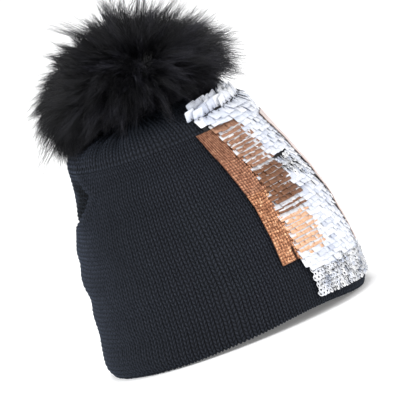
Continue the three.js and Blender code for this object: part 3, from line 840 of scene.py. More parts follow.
P, RELIEF, YARN_AND_PAINTED_SHADE = knit_shell()
n_rows, n_cols = P.shape[0] - 1, P.shape[1]
SECTORS = 6
knit_pieces = []
for i in range(SECTORS):
    c0 = i * n_cols // SECTORS
    cols = np.arange(c0, c0 + n_cols // SECTORS + 1) % n_cols
    sub = P[:, cols]
    f = grid_faces(n_rows, len(cols) - 1, flip=True)
    gu, gv = np.meshgrid(np.linspace(0.002, 0.998, len(cols)), np.linspace(0.002, 0.998, n_rows + 1))
    ob = new_mesh(f"knit_sector_{i + 1}", sub.reshape(-1, 3), f,
                  {"relief": RELIEF[:, cols].ravel(), "yarn": YARN_AND_PAINTED_SHADE[:, cols].reshape(-1, 3)}, mats=[KNIT],
                  uv=np.stack([gu.ravel(), gv.ravel()], -1))
    knit_pieces.append(ob)
    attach(ob, "hat")
    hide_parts("knit_shell")

# -------------------------------------------------------------------- camera
ELEV = math.radians(8.0)
ROLL = math.radians(21.0)
SPAN = 264.8 * MM
DIST = 2.0
target = np.array([5.96 + SX, 0.0, 0.0]) * MM
up_mm = 87.7
view = np.array([0.0, math.cos(ELEV), -math.sin(ELEV)])
right = np.array([1.0, 0.0, 0.0])
upv = np.array([0.0, math.sin(ELEV), math.cos(ELEV)])
centre = target + upv * up_mm * MM
cam_data = bpy.data.cameras.new("camera")
cam = bpy.data.objects.new("camera", cam_data)
bpy.context.scene.collection.objects.link(cam)
from mathutils import Matrix, Vector
img_up = math.cos(ROLL) * upv + math.sin(ROLL) * right
img_right = math.cos(ROLL) * right - math.sin(ROLL) * upv
back = -view
M = Matrix([[img_right[i], img_up[i], back[i], (centre - view * DIST)[i]] for i in range(3)] + [[0, 0, 0, 1]])
cam.matrix_world = M
cam_data.type = "ORTHO"
cam_data.ortho_scale = SPAN
cam_data.clip_start = 0.05
cam_data.clip_end = 50
bpy.context.scene.camera = cam

# ------------------------------------------------------------- floor, light
fm, fnt, fb = material("studio_floor")
fn = noise(fnt, 3, 2)
link(fnt, ramp(fnt, fn, [(0.3, (0.93, 0.93, 0.935)), (0.7, (0.95, 0.95, 0.955))]), fb.inputs["Base Color"])
fb.inputs["Roughness"].default_value = 0.9
fb.inputs["Specular IOR Level"].default_value = 0.0
fb.inputs["Emission Color"].default_value = (1.0, 1.0, 1.0, 1)
fb.inputs["Emission Strength"].default_value = 0.16
S = 6.0
floor = new_mesh("studio_floor", [(-S, -S, -0.0003), (S, -S, -0.0003), (S, S, -0.0003), (-S, S, -0.0003)],
                 np.array([[0, 1, 2, 3]]), mats=[fm])
world = bpy.data.worlds.new("studio")
bpy.context.scene.world = world
world.use_nodes = True
bg = world.node_tree.nodes["Background"]
bg.inputs["Color"].default_value = (1.0, 1.0, 1.0, 1)
bg.inputs["Strength"].default_value = 0.85


def area(name, loc, aim, size, power, colour=(1, 1, 1)):
    ld = bpy.data.lights.new(name, "AREA")
    ld.shape = "RECTANGLE"
    ld.size, ld.size_y = size
    ld.energy = power
    ld.color = colour
    ob = bpy.data.objects.new(name, ld)
    bpy.context.scene.collection.objects.link(ob)
    ob.location = loc
    d = Vector(aim) - Vector(loc)
    ob.rotation_euler = d.to_track_quat("-Z", "Y").to_euler()
    return ob


area("key_softbox", (-0.9, -0.9, 1.2), (0, 0, 0.12), (0.9, 0.9), 14, (0.97, 0.985, 1.0))
area("fill_softbox", (1.1, -0.8, 0.45), (0.03, 0, 0.1), (0.6, 0.9), 6, (1.0, 0.985, 0.96))
area("top_softbox", (0.1, 0.5, 1.5), (0, 0, 0.15), (1.0, 1.0), 9)
bpy.context.scene.view_settings.view_transform = "Standard"
bpy.context.scene.view_settings.look = "None"
bpy.context.scene.view_settings.exposure = 0.0

# ---------------------------------------------------------------- inner shells
def shell_piece(name, t_rows, n_phi, d_out, d_in, mats):
    """An open shell between two offsets, closed at its rim and its crown hole."""
    ph = np.arange(n_phi) * 360.0 / n_phi
    T, PH = np.meshgrid(t_rows, ph, indexing="ij")
    do = d_out(T) if callable(d_out) else d_out
    di = d_in(T) if callable(d_in) else d_in
    A, B = place(PH, T, do), place(PH, T, di)
    V = np.concatenate([A, B[::-1]])
    m = V.shape[0]
    f = grid_faces(m - 1, n_phi, closed_u=True)
    k = np.arange(n_phi)
    last = np.stack([(m - 1) * n_phi + k, (m - 1) * n_phi + (k + 1) % n_phi, (k + 1) % n_phi, k], -1)
    ob = new_mesh(name, V.reshape(-1, 3), np.concatenate([f, last]), mats=mats)
    fix_normals(ob)
    return ob


def lining_drop(T):
    return 0.9 * (1 - smooth(T, 2.1, 2.9))


lin_rows = np.concatenate([np.linspace(1.98, 3, 12), np.linspace(3.1, 12, 80), np.linspace(12.1, 16.9, 40)])
lining = shell_piece("fleece_lining_soft", lin_rows, 200, lambda T: -4.4 - lining_drop(T),
                     lambda T: -6.1 - lining_drop(T), [FLEECE])
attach(lining, "hat")
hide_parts("fleece_lining")

# care label, sewn into the lining along its top edge
PH, TT = np.meshgrid(np.linspace(196.3, 210.7, 25), np.linspace(4.45, 3.05, 15), indexing="xy")
wob = 0.25 * np.sin(np.radians((PH - 196) * 22)) * (4.45 - TT) / 1.4
lab = solid_sheet("care_label_satin", place(PH, TT, -7.15 + wob * 0.4 - 0.2), place(PH, TT, -7.45 + wob * 0.4 - 0.2), mats=[LABEL])
fix_normals(lab)
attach(lab, "hat")
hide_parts("care_label")

# ------------------------------------------------------------ snap and base
PATCH_TOP = CROWN_Z - 3.6 - 0.75 - 1.8 - 0.3


def rigid(name, prof, mat, body, node_name, segs=72):
    ob = turned(name, prof, [mat], segs)
    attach(ob, body)
    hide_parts(node_name)
    return ob


def circle(r0, z0, r, n):
    return [(r0 + r * math.cos(a), z0 + r * math.sin(a)) for a in np.arange(n) * 2 * math.pi / n]


CZ = CROWN_Z
rigid("felt_crown_patch", [(3.8, PATCH_TOP - 1.5), (18, PATCH_TOP - 1.5), (18, PATCH_TOP), (3.8, PATCH_TOP)], FELT, "hat", "crown_patch")
rigid("socket_metal", [(2.2, PATCH_TOP - 3.1), (3.4, PATCH_TOP - 3.1), (3.4, CZ + 0.35), (7.5, CZ + 0.35), (7.5, CZ + 4.3),
                       (4.5, CZ + 4.3), (4.5, CZ + 3.6), (5.55, CZ + 3.6), (5.55, CZ + 1.3), (2.2, CZ + 1.3)], STEEL, "hat", "snap_socket")
rigid("socket_ring_metal", [(3.7, PATCH_TOP - 2.7), (8.5, PATCH_TOP - 2.7), (8.5, PATCH_TOP - 1.8), (3.7, PATCH_TOP - 1.8)], STEEL, "hat", "socket_backing_ring")
rigid("ring_spring_wire", circle(4.85, CZ + 2.4, 0.42, 14), SPRING, "snap_ring", "snap_ring_spring")
rigid("stud_metal", [(0, CZ + 1.6), (3.2, CZ + 1.6), (4.1, CZ + 2.2), (4.1, CZ + 3.0), (3.4, CZ + 3.5), (3.4, CZ + 4.9), (7.5, CZ + 4.9),
                     (7.5, CZ + 5.8), (1.8, CZ + 5.8), (1.8, CZ + 12.2), (0, CZ + 12.2)], STEEL, "snap_stud", "snap_stud")
rigid("stud_cap_metal", [(0, CZ + 12.6), (2.1, CZ + 12.6), (2.1, CZ + 11.0), (6.5, CZ + 11.0), (6.5, CZ + 11.9), (3.5, CZ + 11.9),
                         (3.5, CZ + 13.7), (0, CZ + 13.7)], STEEL, "snap_stud", "stud_cap")
TILT_Z = float(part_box("pompom_base")[0][2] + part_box("pompom_base")[1][2]) / 2 / MM
_hole = 2.8
rigid("base_leather_disc", [(_hole, TILT_Z - 1), (20.4, TILT_Z - 1), (20.4, TILT_Z + 1), (_hole, TILT_Z + 1)], LEATHER, "pompom", "pompom_base")

# the drawn-up cord: two plies twisted round each other, in a ring
ang = np.linspace(0, 2 * math.pi, 361)[:-1]
cord_v, cord_f, base_i = [], [], 0
for ply in (0, 1):
    tw = ang * 34 + ply * math.pi
    cr = 11.5 + 0.42 * np.cos(tw) + 0.12 * np.sin(ang * 5)
    cz = CZ + 1.3 + 0.42 * np.sin(tw)
    c = np.stack([cr * np.cos(ang) + AXIS_X, cr * np.sin(ang), cz], -1)
    er = np.stack([np.cos(ang), np.sin(ang), 0 * ang], -1)
    ez = np.array([0, 0, 1.0])
    sec = np.arange(8) * math.pi / 4
    ring = c[:, None] + 0.5 * (np.cos(sec)[None, :, None] * er[:, None] + np.sin(sec)[None, :, None] * ez)
    cord_v.append(ring.reshape(-1, 3) * MM)
    n = len(ang)
    a, b2 = np.meshgrid(np.arange(n), np.arange(8), indexing="ij")
    f = np.stack([a * 8 + b2, ((a + 1) % n) * 8 + b2, ((a + 1) % n) * 8 + (b2 + 1) % 8, a * 8 + (b2 + 1) % 8], -1).reshape(-1, 4)
    cord_f.append(f + base_i)
    base_i += n * 8
gather = new_mesh("gathering_yarn", np.concatenate(cord_v), np.concatenate(cord_f),
                  {"relief": np.full(base_i, 0.8), "yarn": np.tile([0.5, 0.5, 0.74], (base_i, 1))}, mats=[KNIT])
fix_normals(gather)
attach(gather, "hat")
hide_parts("gathering_cord")

# ------------------------------------------------------------------- panel
RIBBON_LEFT = [(4.2, 25.2), (5.25, 25.9), (6.15, 26.4), (7.75, 25.6), (9.6, 22.6), (11.6, 19.4)]
RIBBON_RIGHT = [(4.2, 35.5), (5.5, 36.4), (6.65, 37.9), (8.15, 38.8), (9.95, 35.8), (11.6, 31.5)]
STRIP_RIGHT = [(4.2, 51.7), (4.85, 52.4), (5.5, 53.8), (6.2, 55.6), (7.85, 54.9), (9.75, 54.2), (11.6, 50.6)]
ROSE_LEFT = [(3.9, 87.6), (6.0, 87.8), (8.0, 87.6), (9.1, 86.4), (10.15, 83.6), (10.8, 81.6)]
ROSE_RIGHT = [(t, v + 11) for t, v in ROSE_LEFT]
SILVER_LEFT = [(6.05, 75.4), (7.25, 56.6), (7.6, 55.2), (8.25, 54.9)]
SILVER_RIGHT = [(6.05, 77.4), (8.25, 73.2)]
FAR = 121.0
FROM, RIBBON_TO, SEQUIN_TO = 1.6, 2.5, 3.2


def edge(e, t):
    if isinstance(e, (int, float)):
        return np.full(np.shape(t), float(e))
    e = np.array(e)
    return np.interp(t, e[:, 0], e[:, 1])


def mm_per_degree(phi, t):
    return np.linalg.norm(place(phi + 0.5, t, 2.0) - place(phi - 0.5, t, 2.0), axis=-1) / MM


def square_template(side=7.9, corner=1.0, thick=0.14, hole=0.55, hole_at=0.9):
    """A rounded square plate with one hole near its top edge; +y towards the free edge."""
    h = side / 2
    out = []
    for cx, cy, a0 in ((h - corner, -h + corner, -90), (h - corner, h - corner, 0), (-h + corner, h - corner, 90), (-h + corner, -h + corner, 180)):
        for a in (0, 30, 60, 90):
            r = math.radians(a0 + a)
            out.append((cx + corner * math.cos(r), cy + corner * math.sin(r) + h - hole_at))
    out = np.array(out)
    inner = []
    for x, y in out:
        a = math.atan2(y, x)
        inner.append((hole * math.cos(a), hole * math.sin(a)))
    inner = np.array(inner)
    mid = inner + (out - inner) * 0.5
    n = len(out)

    def lift(p):
        return -0.010 * p[:, 0] ** 2 + 0.004 * (p[:, 1]) ** 2

    rings = []
    for p, z in ((inner, thick), (mid, thick), (out * [0.985, 1], thick), (out, thick * 0.5), (out * [0.985, 1], 0), (mid, 0), (inner, 0)):
        rings.append(np.column_stack([p, lift(p) + z]))
    v = np.concatenate(rings)
    faces = []
    m = len(rings)
    for i in range(m):
        for k in range(n):
            a, b2 = i * n + k, i * n + (k + 1) % n
            c, d = ((i + 1) % m) * n + (k + 1) % n, ((i + 1) % m) * n + k
            faces.append((a, d, c, b2))
    y0, y1 = -hole_at, side - hole_at
    loc = np.column_stack([(v[:, 0] + h) / side, (v[:, 1] - y0) / (y1 - y0)])
    return v * MM, np.array(faces), loc


def cup_template(r=2.3, thick=0.12, hole=0.66, deep=0.62):
    """A small cupped disc with a centre hole, open side out."""
    n = 12
    a = np.arange(n) * 2 * math.pi / n
    rings = []
    prof = [(hole, 0.0), (r * 0.55, deep * 0.12), (r, deep), (r, deep - thick), (r * 0.55, deep * 0.12 - thick), (hole, -thick)]
    for rr, z in prof:
        rings.append(np.column_stack([rr * np.cos(a), rr * np.sin(a), np.full(n, z)]))
    v = np.concatenate(rings)
    faces = []
    m = len(rings)
    for i in range(m):
        for k in range(n):
            p, q = i * n + k, i * n + (k + 1) % n
            s, w = ((i + 1) % m) * n + (k + 1) % n, ((i + 1) % m) * n + k
            faces.append((p, q, s, w))
    loc = np.column_stack([(v[:, 0] + r) / (2 * r), (v[:, 1] + r) / (2 * r)])
    return v * MM, np.array(faces), loc


def thread_template():
    """A short stitch of black thread lying over a hole."""
    n, rings = 6, []
    a = np.arange(n) * 2 * math.pi / n
    for x, r, z in ((-0.62, 0.02, -0.15), (-0.5, 0.24, 0.06), (0.0, 0.34, 0.16), (0.5, 0.24, 0.06), (0.62, 0.02, -0.15)):
        rings.append(np.column_stack([np.full(n, x), r * np.cos(a), z + r * np.sin(a)]))
    v = np.concatenate(rings)
    faces = []
    for i in range(len(rings) - 1):
        for k in range(n):
            faces.append((i * n + k, (i + 1) * n + k, (i + 1) * n + (k + 1) % n, i * n + (k + 1) % n))
    # close the ends with quads
    for base, flip in ((0, False), ((len(rings) - 1) * n, True)):
        for q in ((0, 1, 2, 3), (0, 3, 4, 5)):
            f = tuple(base + k for k in q)
            faces.append(f[::-1] if flip else f)
    return v * MM, np.array(faces)


SQUARE, SQUARE_F, SQUARE_LOC = square_template()
CUP, CUP_F, CUP_LOC = cup_template()
STITCH, STITCH_F = thread_template()
stitches = []


def axes(phi, t, d, tilt, yaw, roll, up):
    p, tu, td, n = frame_at(phi, t, d)
    ey = -td if up else td
    ex = np.cross(ey, n)
    c, s = np.cos(yaw)[:, None], np.sin(yaw)[:, None]
    ex, ey = c * ex + s * ey, c * ey - s * ex
    c, s = np.cos(tilt)[:, None], np.sin(tilt)[:, None]
    ey, n = c * ey + s * n, c * n - s * ey
    c, s = np.cos(roll)[:, None], np.sin(roll)[:, None]
    ex, n = c * ex + s * n, c * n - s * ex
    return p, ex, ey, n


def squares(name, left, right, t0, t1, mat, node_name, slot_name=None, pitch=3.4, step=6.3, up=False, tilt=11.0,
            length=6.9, loose=1.0, seed=0, inset=2.6, lift=0.0, stop=0.4, first=0.9, shift=None, yaw=0.0, lean=2.0):
    """Rows of square sequins between two edges, each row hanging over the one below."""
    r = np.random.default_rng(1000 + seed)
    s_low, s_high = float(s_of_t(t0)), float(s_of_t(t1))
    if up:
        at = np.arange(s_low - first, s_high + length * 0.55, -pitch)
        if not len(at):
            at = np.array([(s_low + s_high) / 2])
    else:
        at = np.arange(s_low - length + stop, s_high + first - 0.2, -pitch)[::-1]
        if not len(at):
            at = np.array([max(s_high + first, s_low - length + stop)])
    P0, A, B, C, L, U, W, R, Z = [], [], [], [], [], [], [], [], []
    for k, s in enumerate(at):
        t = float(t_of_s(s))
        t_c = float(np.clip(t_of_s(s + (-length if up else length) * 0.5), min(t0, t1), max(t0, t1)))
        l, rr = float(edge(left, t_c)), float(edge(right, t_c))
        mpd = float(mm_per_degree(np.array((l + rr) / 2), np.array(t)))
        w = (rr - l) * mpd
        usable = max(w - 2 * inset, 0.01)
        n = max(1, int(round(usable / step)) + 1)
        gap = usable / max(n - 1, 1)
        x = np.arange(n) * gap + inset + (0.28 * gap if k % 2 and n > 1 else -0.18 * gap if n > 1 else 0.0)
        if n == 1:
            x = np.array([w / 2])
        x = x + r.normal(0, 0.35, n)
        phi = l + x / mpd
        tt = t_of_s(s + r.normal(0, 0.28, n) * loose)
        ti = np.radians((tilt(phi) if callable(tilt) else tilt) + r.normal(0, 3.0, n) * loose)
        ya = np.radians(yaw + r.normal(0, 2.6, n) * loose)
        ro = np.radians(lean + r.normal(0, 1.5, n) * loose)
        d = FROM + 0.05 + lift + 0.12 * np.abs(r.normal(0, 1, n))
        p, ex, ey, ez = axes(phi, tt, d, ti, ya, ro, up)
        P0.append(p); A.append(ex); B.append(ey); C.append(ez); L.append(r.random(n))
        U.append(x); W.append(np.full(n, s)); R.append(np.full(n, w)); Z.append(np.full(n, shift(k, len(at)) if shift else 0.0))
    P0, A, B, C, L = map(np.concatenate, (P0, A, B, C, L))
    v, f = stamp(SQUARE, [SQUARE_F], P0, A, B, C)
    k = len(SQUARE)
    loc = np.column_stack([np.tile(SQUARE_LOC, (len(P0), 1)), np.repeat(L, k)])
    U, W, R, Z = map(np.concatenate, (U, W, R, Z))
    loc[:, 1] += np.repeat(Z, k)
    strip_at = np.column_stack([np.repeat(U, k) + np.tile(SQUARE[:, 0] / MM, len(P0)), np.repeat(W, k) + np.tile(SQUARE[:, 1] / MM, len(P0)), np.repeat(R, k)])
    ob = new_mesh(name, v, f[0], {"loc": loc, "strip": strip_at}, smooth_shade=False, mats=[mat], uv=cells(len(P0), SQUARE_LOC))
    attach(ob, "hat")
    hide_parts(node_name)
    stitches.append((P0 + C * 0.08 * MM, A, B, C))
    return ob


def cups(name, left, right, t0, t1, node_name, seed, pitch=3.1, step=3.75):
    r = np.random.default_rng(2000 + seed)
    s_low, s_high = float(s_of_t(t0)), float(s_of_t(t1))
    at = np.arange(s_low - 1.9, s_high + 1.5, -pitch)
    P0, A, B, C, L = [], [], [], [], []
    for k, s in enumerate(at):
        t = float(t_of_s(s))
        l, rr = float(edge(left, t)), float(edge(right, t))
        mpd = float(mm_per_degree(np.array((l + rr) / 2), np.array(t)))
        w = (rr - l) * mpd
        n = max(1, int((w - 3.6) / step) + 1)
        x = 1.9 + np.arange(n) * step + (0.5 * step if k % 2 else 0) + r.normal(0, 0.28, n)
        x = x[x < w - 1.2]
        n = len(x)
        if not n:
            continue
        phi = l + x / mpd
        tt = t_of_s(s + r.normal(0, 0.22, n))
        ti = np.radians(13 + r.normal(0, 9, n))
        ya = np.radians(r.uniform(-180, 180, n) * 0.12)
        ro = np.radians(r.normal(6, 9, n))
        d = FROM + 0.55 + 0.25 * np.abs(r.normal(0, 1, n))
        p, ex, ey, ez = axes(phi, tt, d, ti, ya, ro, False)
        P0.append(p); A.append(ex); B.append(ey); C.append(ez); L.append(r.random(n))
    P0, A, B, C, L = map(np.concatenate, (P0, A, B, C, L))
    v, f = stamp(CUP, [CUP_F], P0, A, B, C)
    loc = np.column_stack([np.tile(CUP_LOC, (len(P0), 1)), np.repeat(L, len(CUP))])
    ob = new_mesh(name, v, f[0], {"loc": loc}, mats=[SILVER], uv=cells(len(P0), CUP_LOC))
    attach(ob, "hat")
    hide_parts(node_name)
    stitches.append((P0 - C * 0.02 * MM, A, B, C))
    return ob


def backing_left(t):
    e = np.array([(1.95, 38.0), (3.6, 37.8), (4.16, 37.8), (4.26, 27.2)] + [(a, v + 1.2) for a, v in RIBBON_LEFT[1:]]
                 + [(11.7, 26.5), (12.1, 25.8), (13.4, 25.8), (14.3, 35.5)])
    return np.interp(t, e[:, 0], e[:, 1])


def strip(name, left, right, ts, nu, d_top, d_under, mats, relief=None, node_name=None):
    """A closed cloth strip between two edges; d_top may be a function of the grid."""
    T = np.asarray(ts)[:, None] * np.ones((1, nu + 1))
    f = np.linspace(0, 1, nu + 1)[None, :] * np.ones((len(ts), 1))
    l = left(T) if callable(left) else edge(left, T)
    r = right(T) if callable(right) else edge(right, T)
    PHI = l + (r - l) * f
    S = s_of_t(T)
    top = place(PHI, T, d_top(f, S, PHI) if callable(d_top) else d_top)
    und = place(PHI, T, d_under(f, S, PHI) if callable(d_under) else d_under)
    rel = relief(f, S, PHI) if relief else np.full(T.shape, 0.6)
    loc = np.stack([f, (S - S.min()) * MM, np.zeros_like(S)], -1)
    ob = solid_sheet(name, top, und, {"relief": rel, "loc": loc}, mats=mats)
    fix_normals(ob)
    width = np.linalg.norm(np.diff(place(PHI, T, 2.0), axis=1), axis=-1).sum(1)
    run = np.linalg.norm(np.diff(place(PHI, T, 2.0), axis=0), axis=-1).sum(0)
    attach(ob, "hat")
    if node_name:
        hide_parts(node_name)
    return ob


net = strip("backing_net_cloth", backing_left, FAR - 0.3,
            np.concatenate([np.linspace(2.0, 4.15, 26), np.linspace(4.27, 14.25, 110)]), 110, 1.15, 0.5, [NET],
            node_name="panel_backing")


def quilt(cell_w, cell_l, crinkle, seed, lined=None, slit=None):
    """Relief of the woven lame: small puffed cells, drawn into lines near one end."""
    def h(f, S, PHI):
        w = 17.5
        x = f * w + 0.18 * waves(f * 300, S, seed + 5, n=9, fphi=(1, 9), fz=(0.05, 0.3))
        y = S + 0.35 * np.sin(f * 9.0) + 0.22 * waves(f * 300, S, seed + 9, n=9, fphi=(1, 9), fz=(0.05, 0.4))
        lines = np.abs(np.sin(math.pi * x / cell_w)) ** 0.55
        cells = lines * np.abs(np.sin(math.pi * y / cell_l)) ** 0.6
        fold = 0.5 + 0.5 * waves(f * 360, S, seed, n=10, fphi=(4, 19), fz=(0.08, 0.6))
        rel = cells
        if lined is not None:
            k = smooth(S, lined[0], lined[1])
            fine = 0.55 + 0.38 * np.sin(x * 2 * math.pi / 1.7) + 0.14 * np.sin(x * 7.1 + 0.1 * S)
            rel = cells * k + fine * 0.80 * (1 - k) * (0.80 + 0.20 * cells)
        rel = np.clip(rel * (0.70 + 0.55 * fold * crinkle), 0.06, 1.3)
        # the relief also drives the lame's painted shade: lower relief along both edges and in the slit is painted
        # darker
        band = np.clip(smooth(f, 0.0, 0.045) * (1 - smooth(f, 0.955, 1.0)), 0, 1)
        rel = rel * (0.35 + 0.65 * band)
        if slit is not None:
            run = smooth(S, slit[1], slit[2])
            half = 0.030 + 0.055 * run
            rel = rel * (1 - run * smooth(1 - np.abs(f - slit[0] - 0.05 * run) / half, 0.0, 0.5))
        return rel
    return h


_sl = float(s_of_t(4.2))
_su = float(s_of_t(11.6))
Q_UP = quilt(2.2, 2.1, 0.6, 51, lined=(_su + 12, _su + 34))
Q_LOW = quilt(2.3, 2.2, 1.25, 52, slit=(0.70, _sl - 13.0, _sl - 9.0))


def taper_lift(S, s_edge, span, amount):
    return amount * smooth(1 - np.abs(S - s_edge) / span, 0, 1)


s705 = float(s_of_t(7.05))
low = strip("copper_lame_lower_length", RIBBON_LEFT, lambda T: edge(RIBBON_RIGHT, T) - 1.3 * bump(T, 6.2, 0.6), np.linspace(4.2, 7.12, 200), 84,
            lambda f, S, PHI: FROM + 0.45 + 0.75 * Q_LOW(f, S, PHI) + 0.5 * np.exp(-(S - S.max()) ** 2 / 6.0) * (f > 0.5) * (f - 0.5) * 2,
            lambda f, S, PHI: FROM + 0.05, [RIBBON_LOW], Q_LOW,
            node_name="copper_ribbon_lower")
top = strip("copper_lame_upper_length", RIBBON_LEFT, RIBBON_RIGHT, np.linspace(6.95, 11.6, 230), 84,
            lambda f, S, PHI: FROM + 0.4 + 0.5 * Q_UP(f, S, PHI) + 1.15 * smooth(S, s705 - 3.5, s705),
            lambda f, S, PHI: FROM + 0.05 + 1.2 * smooth(S, s705 - 3.5, s705), [RIBBON_TOP], Q_UP,
            node_name="copper_ribbon_upper")


def rose_d(f, S, PHI):
    return FROM + 2.15 + 0.40 * (0.5 + 0.5 * waves(f * 200, S, 71, n=6, fphi=(1, 3), fz=(0.01, 0.05))) + 0.2 * np.cos(f * 2 * math.pi)


rose = strip("rose_satin_length", lambda T: edge(ROSE_LEFT, T) - 5.2 + 0.5 * np.sin(T * 6.1), lambda T: edge(ROSE_RIGHT, T) + 0.4 + 0.45 * np.sin(T * 5.3 + 1),
             np.linspace(3.70, 10.75, 160), 30, rose_d, lambda f, S, PHI: rose_d(f, S, PHI) - 0.3, [ROSE],
             node_name="rose_ribbon")

BAND = dict(mat=WHITE, slot_name="white_sequin")
squares("white_squares_band", 36.0, 86.4, 3.62, 4.35, node_name="white_sequins_band", seed=1, tilt=14, stop=1.0, first=-1.5, lift=0.3, **BAND)
squares("white_squares_lower", STRIP_RIGHT, ROSE_LEFT, 4.1, 6.0, node_name="white_sequins_lower", seed=2, first=-3.2, inset=2.0, **BAND)
squares("white_squares_middle", STRIP_RIGHT, SILVER_LEFT, 6.0, 7.35, node_name="white_sequins_middle", seed=3, first=-2.6, **BAND)
squares("white_squares_side", SILVER_RIGHT, ROSE_LEFT, 6.0, 8.3, node_name="white_sequins_side", seed=4, first=-3.2, inset=2.0, **BAND)
squares("white_squares_upper", STRIP_RIGHT, ROSE_LEFT, 8.25, 10.85, node_name="white_sequins_upper", seed=5, first=-3.0, inset=2.0, **BAND)
squares("white_squares_shoulder", STRIP_RIGHT, FAR - 0.6, 10.7, 11.7, node_name="white_sequins_shoulder", seed=6, lift=0.2, first=-3.4, **BAND)
squares("white_squares_top", [(11.62, 33.4), (12.3, 26.0), (12.9, 26.0)], FAR - 0.6, 11.45, 12.75, node_name="white_sequins_top", seed=7, lift=0.3, tilt=13,
        loose=1.5, **BAND)
squares("white_squares_crown", [(12.98, 24.0), (13.5, 25.0), (14.3, 34.0), (15.0, 50.0)], FAR - 1.5, 12.82, 14.1, node_name="white_sequins_crown",
        seed=8, up=True, tilt=lambda phi: np.interp(phi, [24, 40, 62, 85, 120], [60, 56, 44, 20, 10]), loose=2.4, lift=0.1, pitch=4.6, step=5.4, first=0.9,
        inset=0.6, yaw=17.0, lean=11.0, **BAND)
squares("white_squares_far", [(t, v + 0.8) for t, v in ROSE_RIGHT], FAR - 0.6, 3.72, 10.78, node_name="white_sequins_far", seed=9, first=-2.6, inset=3.4, **BAND)
FOIL = dict(slot_name="copper_sequin", step=5.2, inset=2.4, loose=0.55)
squares("peach_squares_lower", RIBBON_RIGHT, STRIP_RIGHT, 4.2, 5.55, COPPER_LOW, "copper_sequins_lower", seed=10, first=-3.2, **FOIL)
squares("brown_squares_middle", RIBBON_RIGHT, STRIP_RIGHT, 5.5, 8.3, COPPER_MID, "copper_sequins_middle", seed=11, first=-3.2,
        shift=lambda k, n: -0.26 if k >= n - 2 else 0.0, **FOIL)
squares("mixed_squares_upper", RIBBON_RIGHT, STRIP_RIGHT, 8.25, 11.55, COPPER_TOP, "copper_sequins_upper", seed=12, first=-2.6,
        shift=lambda k, n: 0.40 if k == 0 else 0.0, **FOIL)
cups("silver_cups_upper", SILVER_LEFT, SILVER_RIGHT, 6.14, 8.3, "silver_sequins_upper", 1)
cups("silver_cups_lower", 36.2, FAR, 1.85, 3.7, "silver_sequins_lower", 2)

O, A, B, C = (np.concatenate([s[i] for s in stitches]) for i in range(4))
v, f = stamp(STITCH, [STITCH_F], O, B, A, C)
threads = new_mesh("sequin_threads", v, f[0], mats=[THREAD], uv=cells(len(O), STITCH[:, :2] / MM * 0.7 + 0.5))
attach(threads, "hat")

# ------------------------------------------------------------------- pompom
HIDE_OUT = [(21.2, 164.0), (43.0, 165.0), (51.5, 168.8), (56.6, 174.8), (57.3, 180.6), (54.0, 188.6), (46.8, 197.8), (37.0, 207.4),
            (23.6, 215.4), (10.8, 220.4), (0.0, 222.0)]
HIDE_IN = [(0.0, 218.6), (9.4, 217.0), (22.0, 212.0), (34.4, 204.4), (43.6, 195.4), (50.0, 187.2), (53.2, 180.8), (52.8, 176.4),
           (48.6, 172.2), (41.5, 169.4), (21.2, 168.4)]


def turned_soft(name, prof, mats, segs, wob, seed):
    """A smooth curve through the profile's points."""
    prof = np.array(prof, float)
    n = len(prof)
    pts = []
    for i in range(n - 1):
        p0, p1, p2, p3 = prof[max(i - 1, 0)], prof[i], prof[i + 1], prof[min(i + 2, n - 1)]
        for u in np.linspace(0, 1, 6)[:-1]:
            pts.append(0.5 * (2 * p1 + (p2 - p0) * u + (2 * p0 - 5 * p1 + 4 * p2 - p3) * u * u + (3 * p1 - p0 - 3 * p2 + p3) * u ** 3))
    pts.append(prof[-1])
    return np.array(pts)


def drawn_in(rows):
    """The hide sits well inside the fur's outline."""
    rows = np.array(rows, float)
    k = smooth(rows[:, 1], 168, 182)
    rows[:, 1] = 164 + (rows[:, 1] - 164) * (1 - 0.20 * k)
    rows[:, 0] = np.where(rows[:, 0] > 21.3, rows[:, 0] * 0.945, rows[:, 0])
    return rows


hide_o = turned_soft("", drawn_in(HIDE_OUT), None, 0, 0, 0)
hide_i = turned_soft("", drawn_in(HIDE_IN), None, 0, 0, 0)


def revolve(rows, segs, seed, amp):
    ang = np.arange(segs) * 2 * math.pi / segs
    w = amp * waves(np.degrees(ang)[None, :] + 0 * rows[:, :1], rows[:, 1:2] + 0 * ang[None, :], seed, n=9, fphi=(2, 9), fz=(0.01, 0.06))
    fade = smooth(rows[:, 0], 14, 40)[:, None] * smooth(rows[:, 1], 164, 172)[:, None]
    r = rows[:, :1] + w * fade
    return np.stack([r * np.cos(ang) + AXIS_X, r * np.sin(ang), rows[:, 1:2] + 0 * ang + 0.0 * r], -1)


SEG = 96
outer, inner = revolve(hide_o[:-1], SEG, 61, 1.2), revolve(hide_i[1:], SEG, 61, 0.6)
mo, mi = len(outer), len(inner)
V = np.concatenate([outer.reshape(-1, 3), inner.reshape(-1, 3), [[AXIS_X, 0, hide_o[-1][1]], [AXIS_X, 0, hide_i[0][1]]]]) * MM
k = np.arange(SEG)
quads = [grid_faces(mo - 1, SEG, closed_u=True), grid_faces(mi - 1, SEG, closed_u=True, base=mo * SEG),
         np.stack([(mo + mi - 1) * SEG + k, (mo + mi - 1) * SEG + (k + 1) % SEG, (k + 1) % SEG, k], -1)]
tris = [np.stack([np.full(SEG, (mo + mi) * SEG), (mo - 1) * SEG + k, (mo - 1) * SEG + (k + 1) % SEG], -1),
        np.stack([np.full(SEG, (mo + mi) * SEG + 1), mo * SEG + (k + 1) % SEG, mo * SEG + k], -1)]
hide = new_mesh("fur_hide", V, [np.concatenate(quads), np.concatenate(tris)], mats=[PELT])
fix_normals(hide)
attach(hide, "pompom")
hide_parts("pompom_pelt")

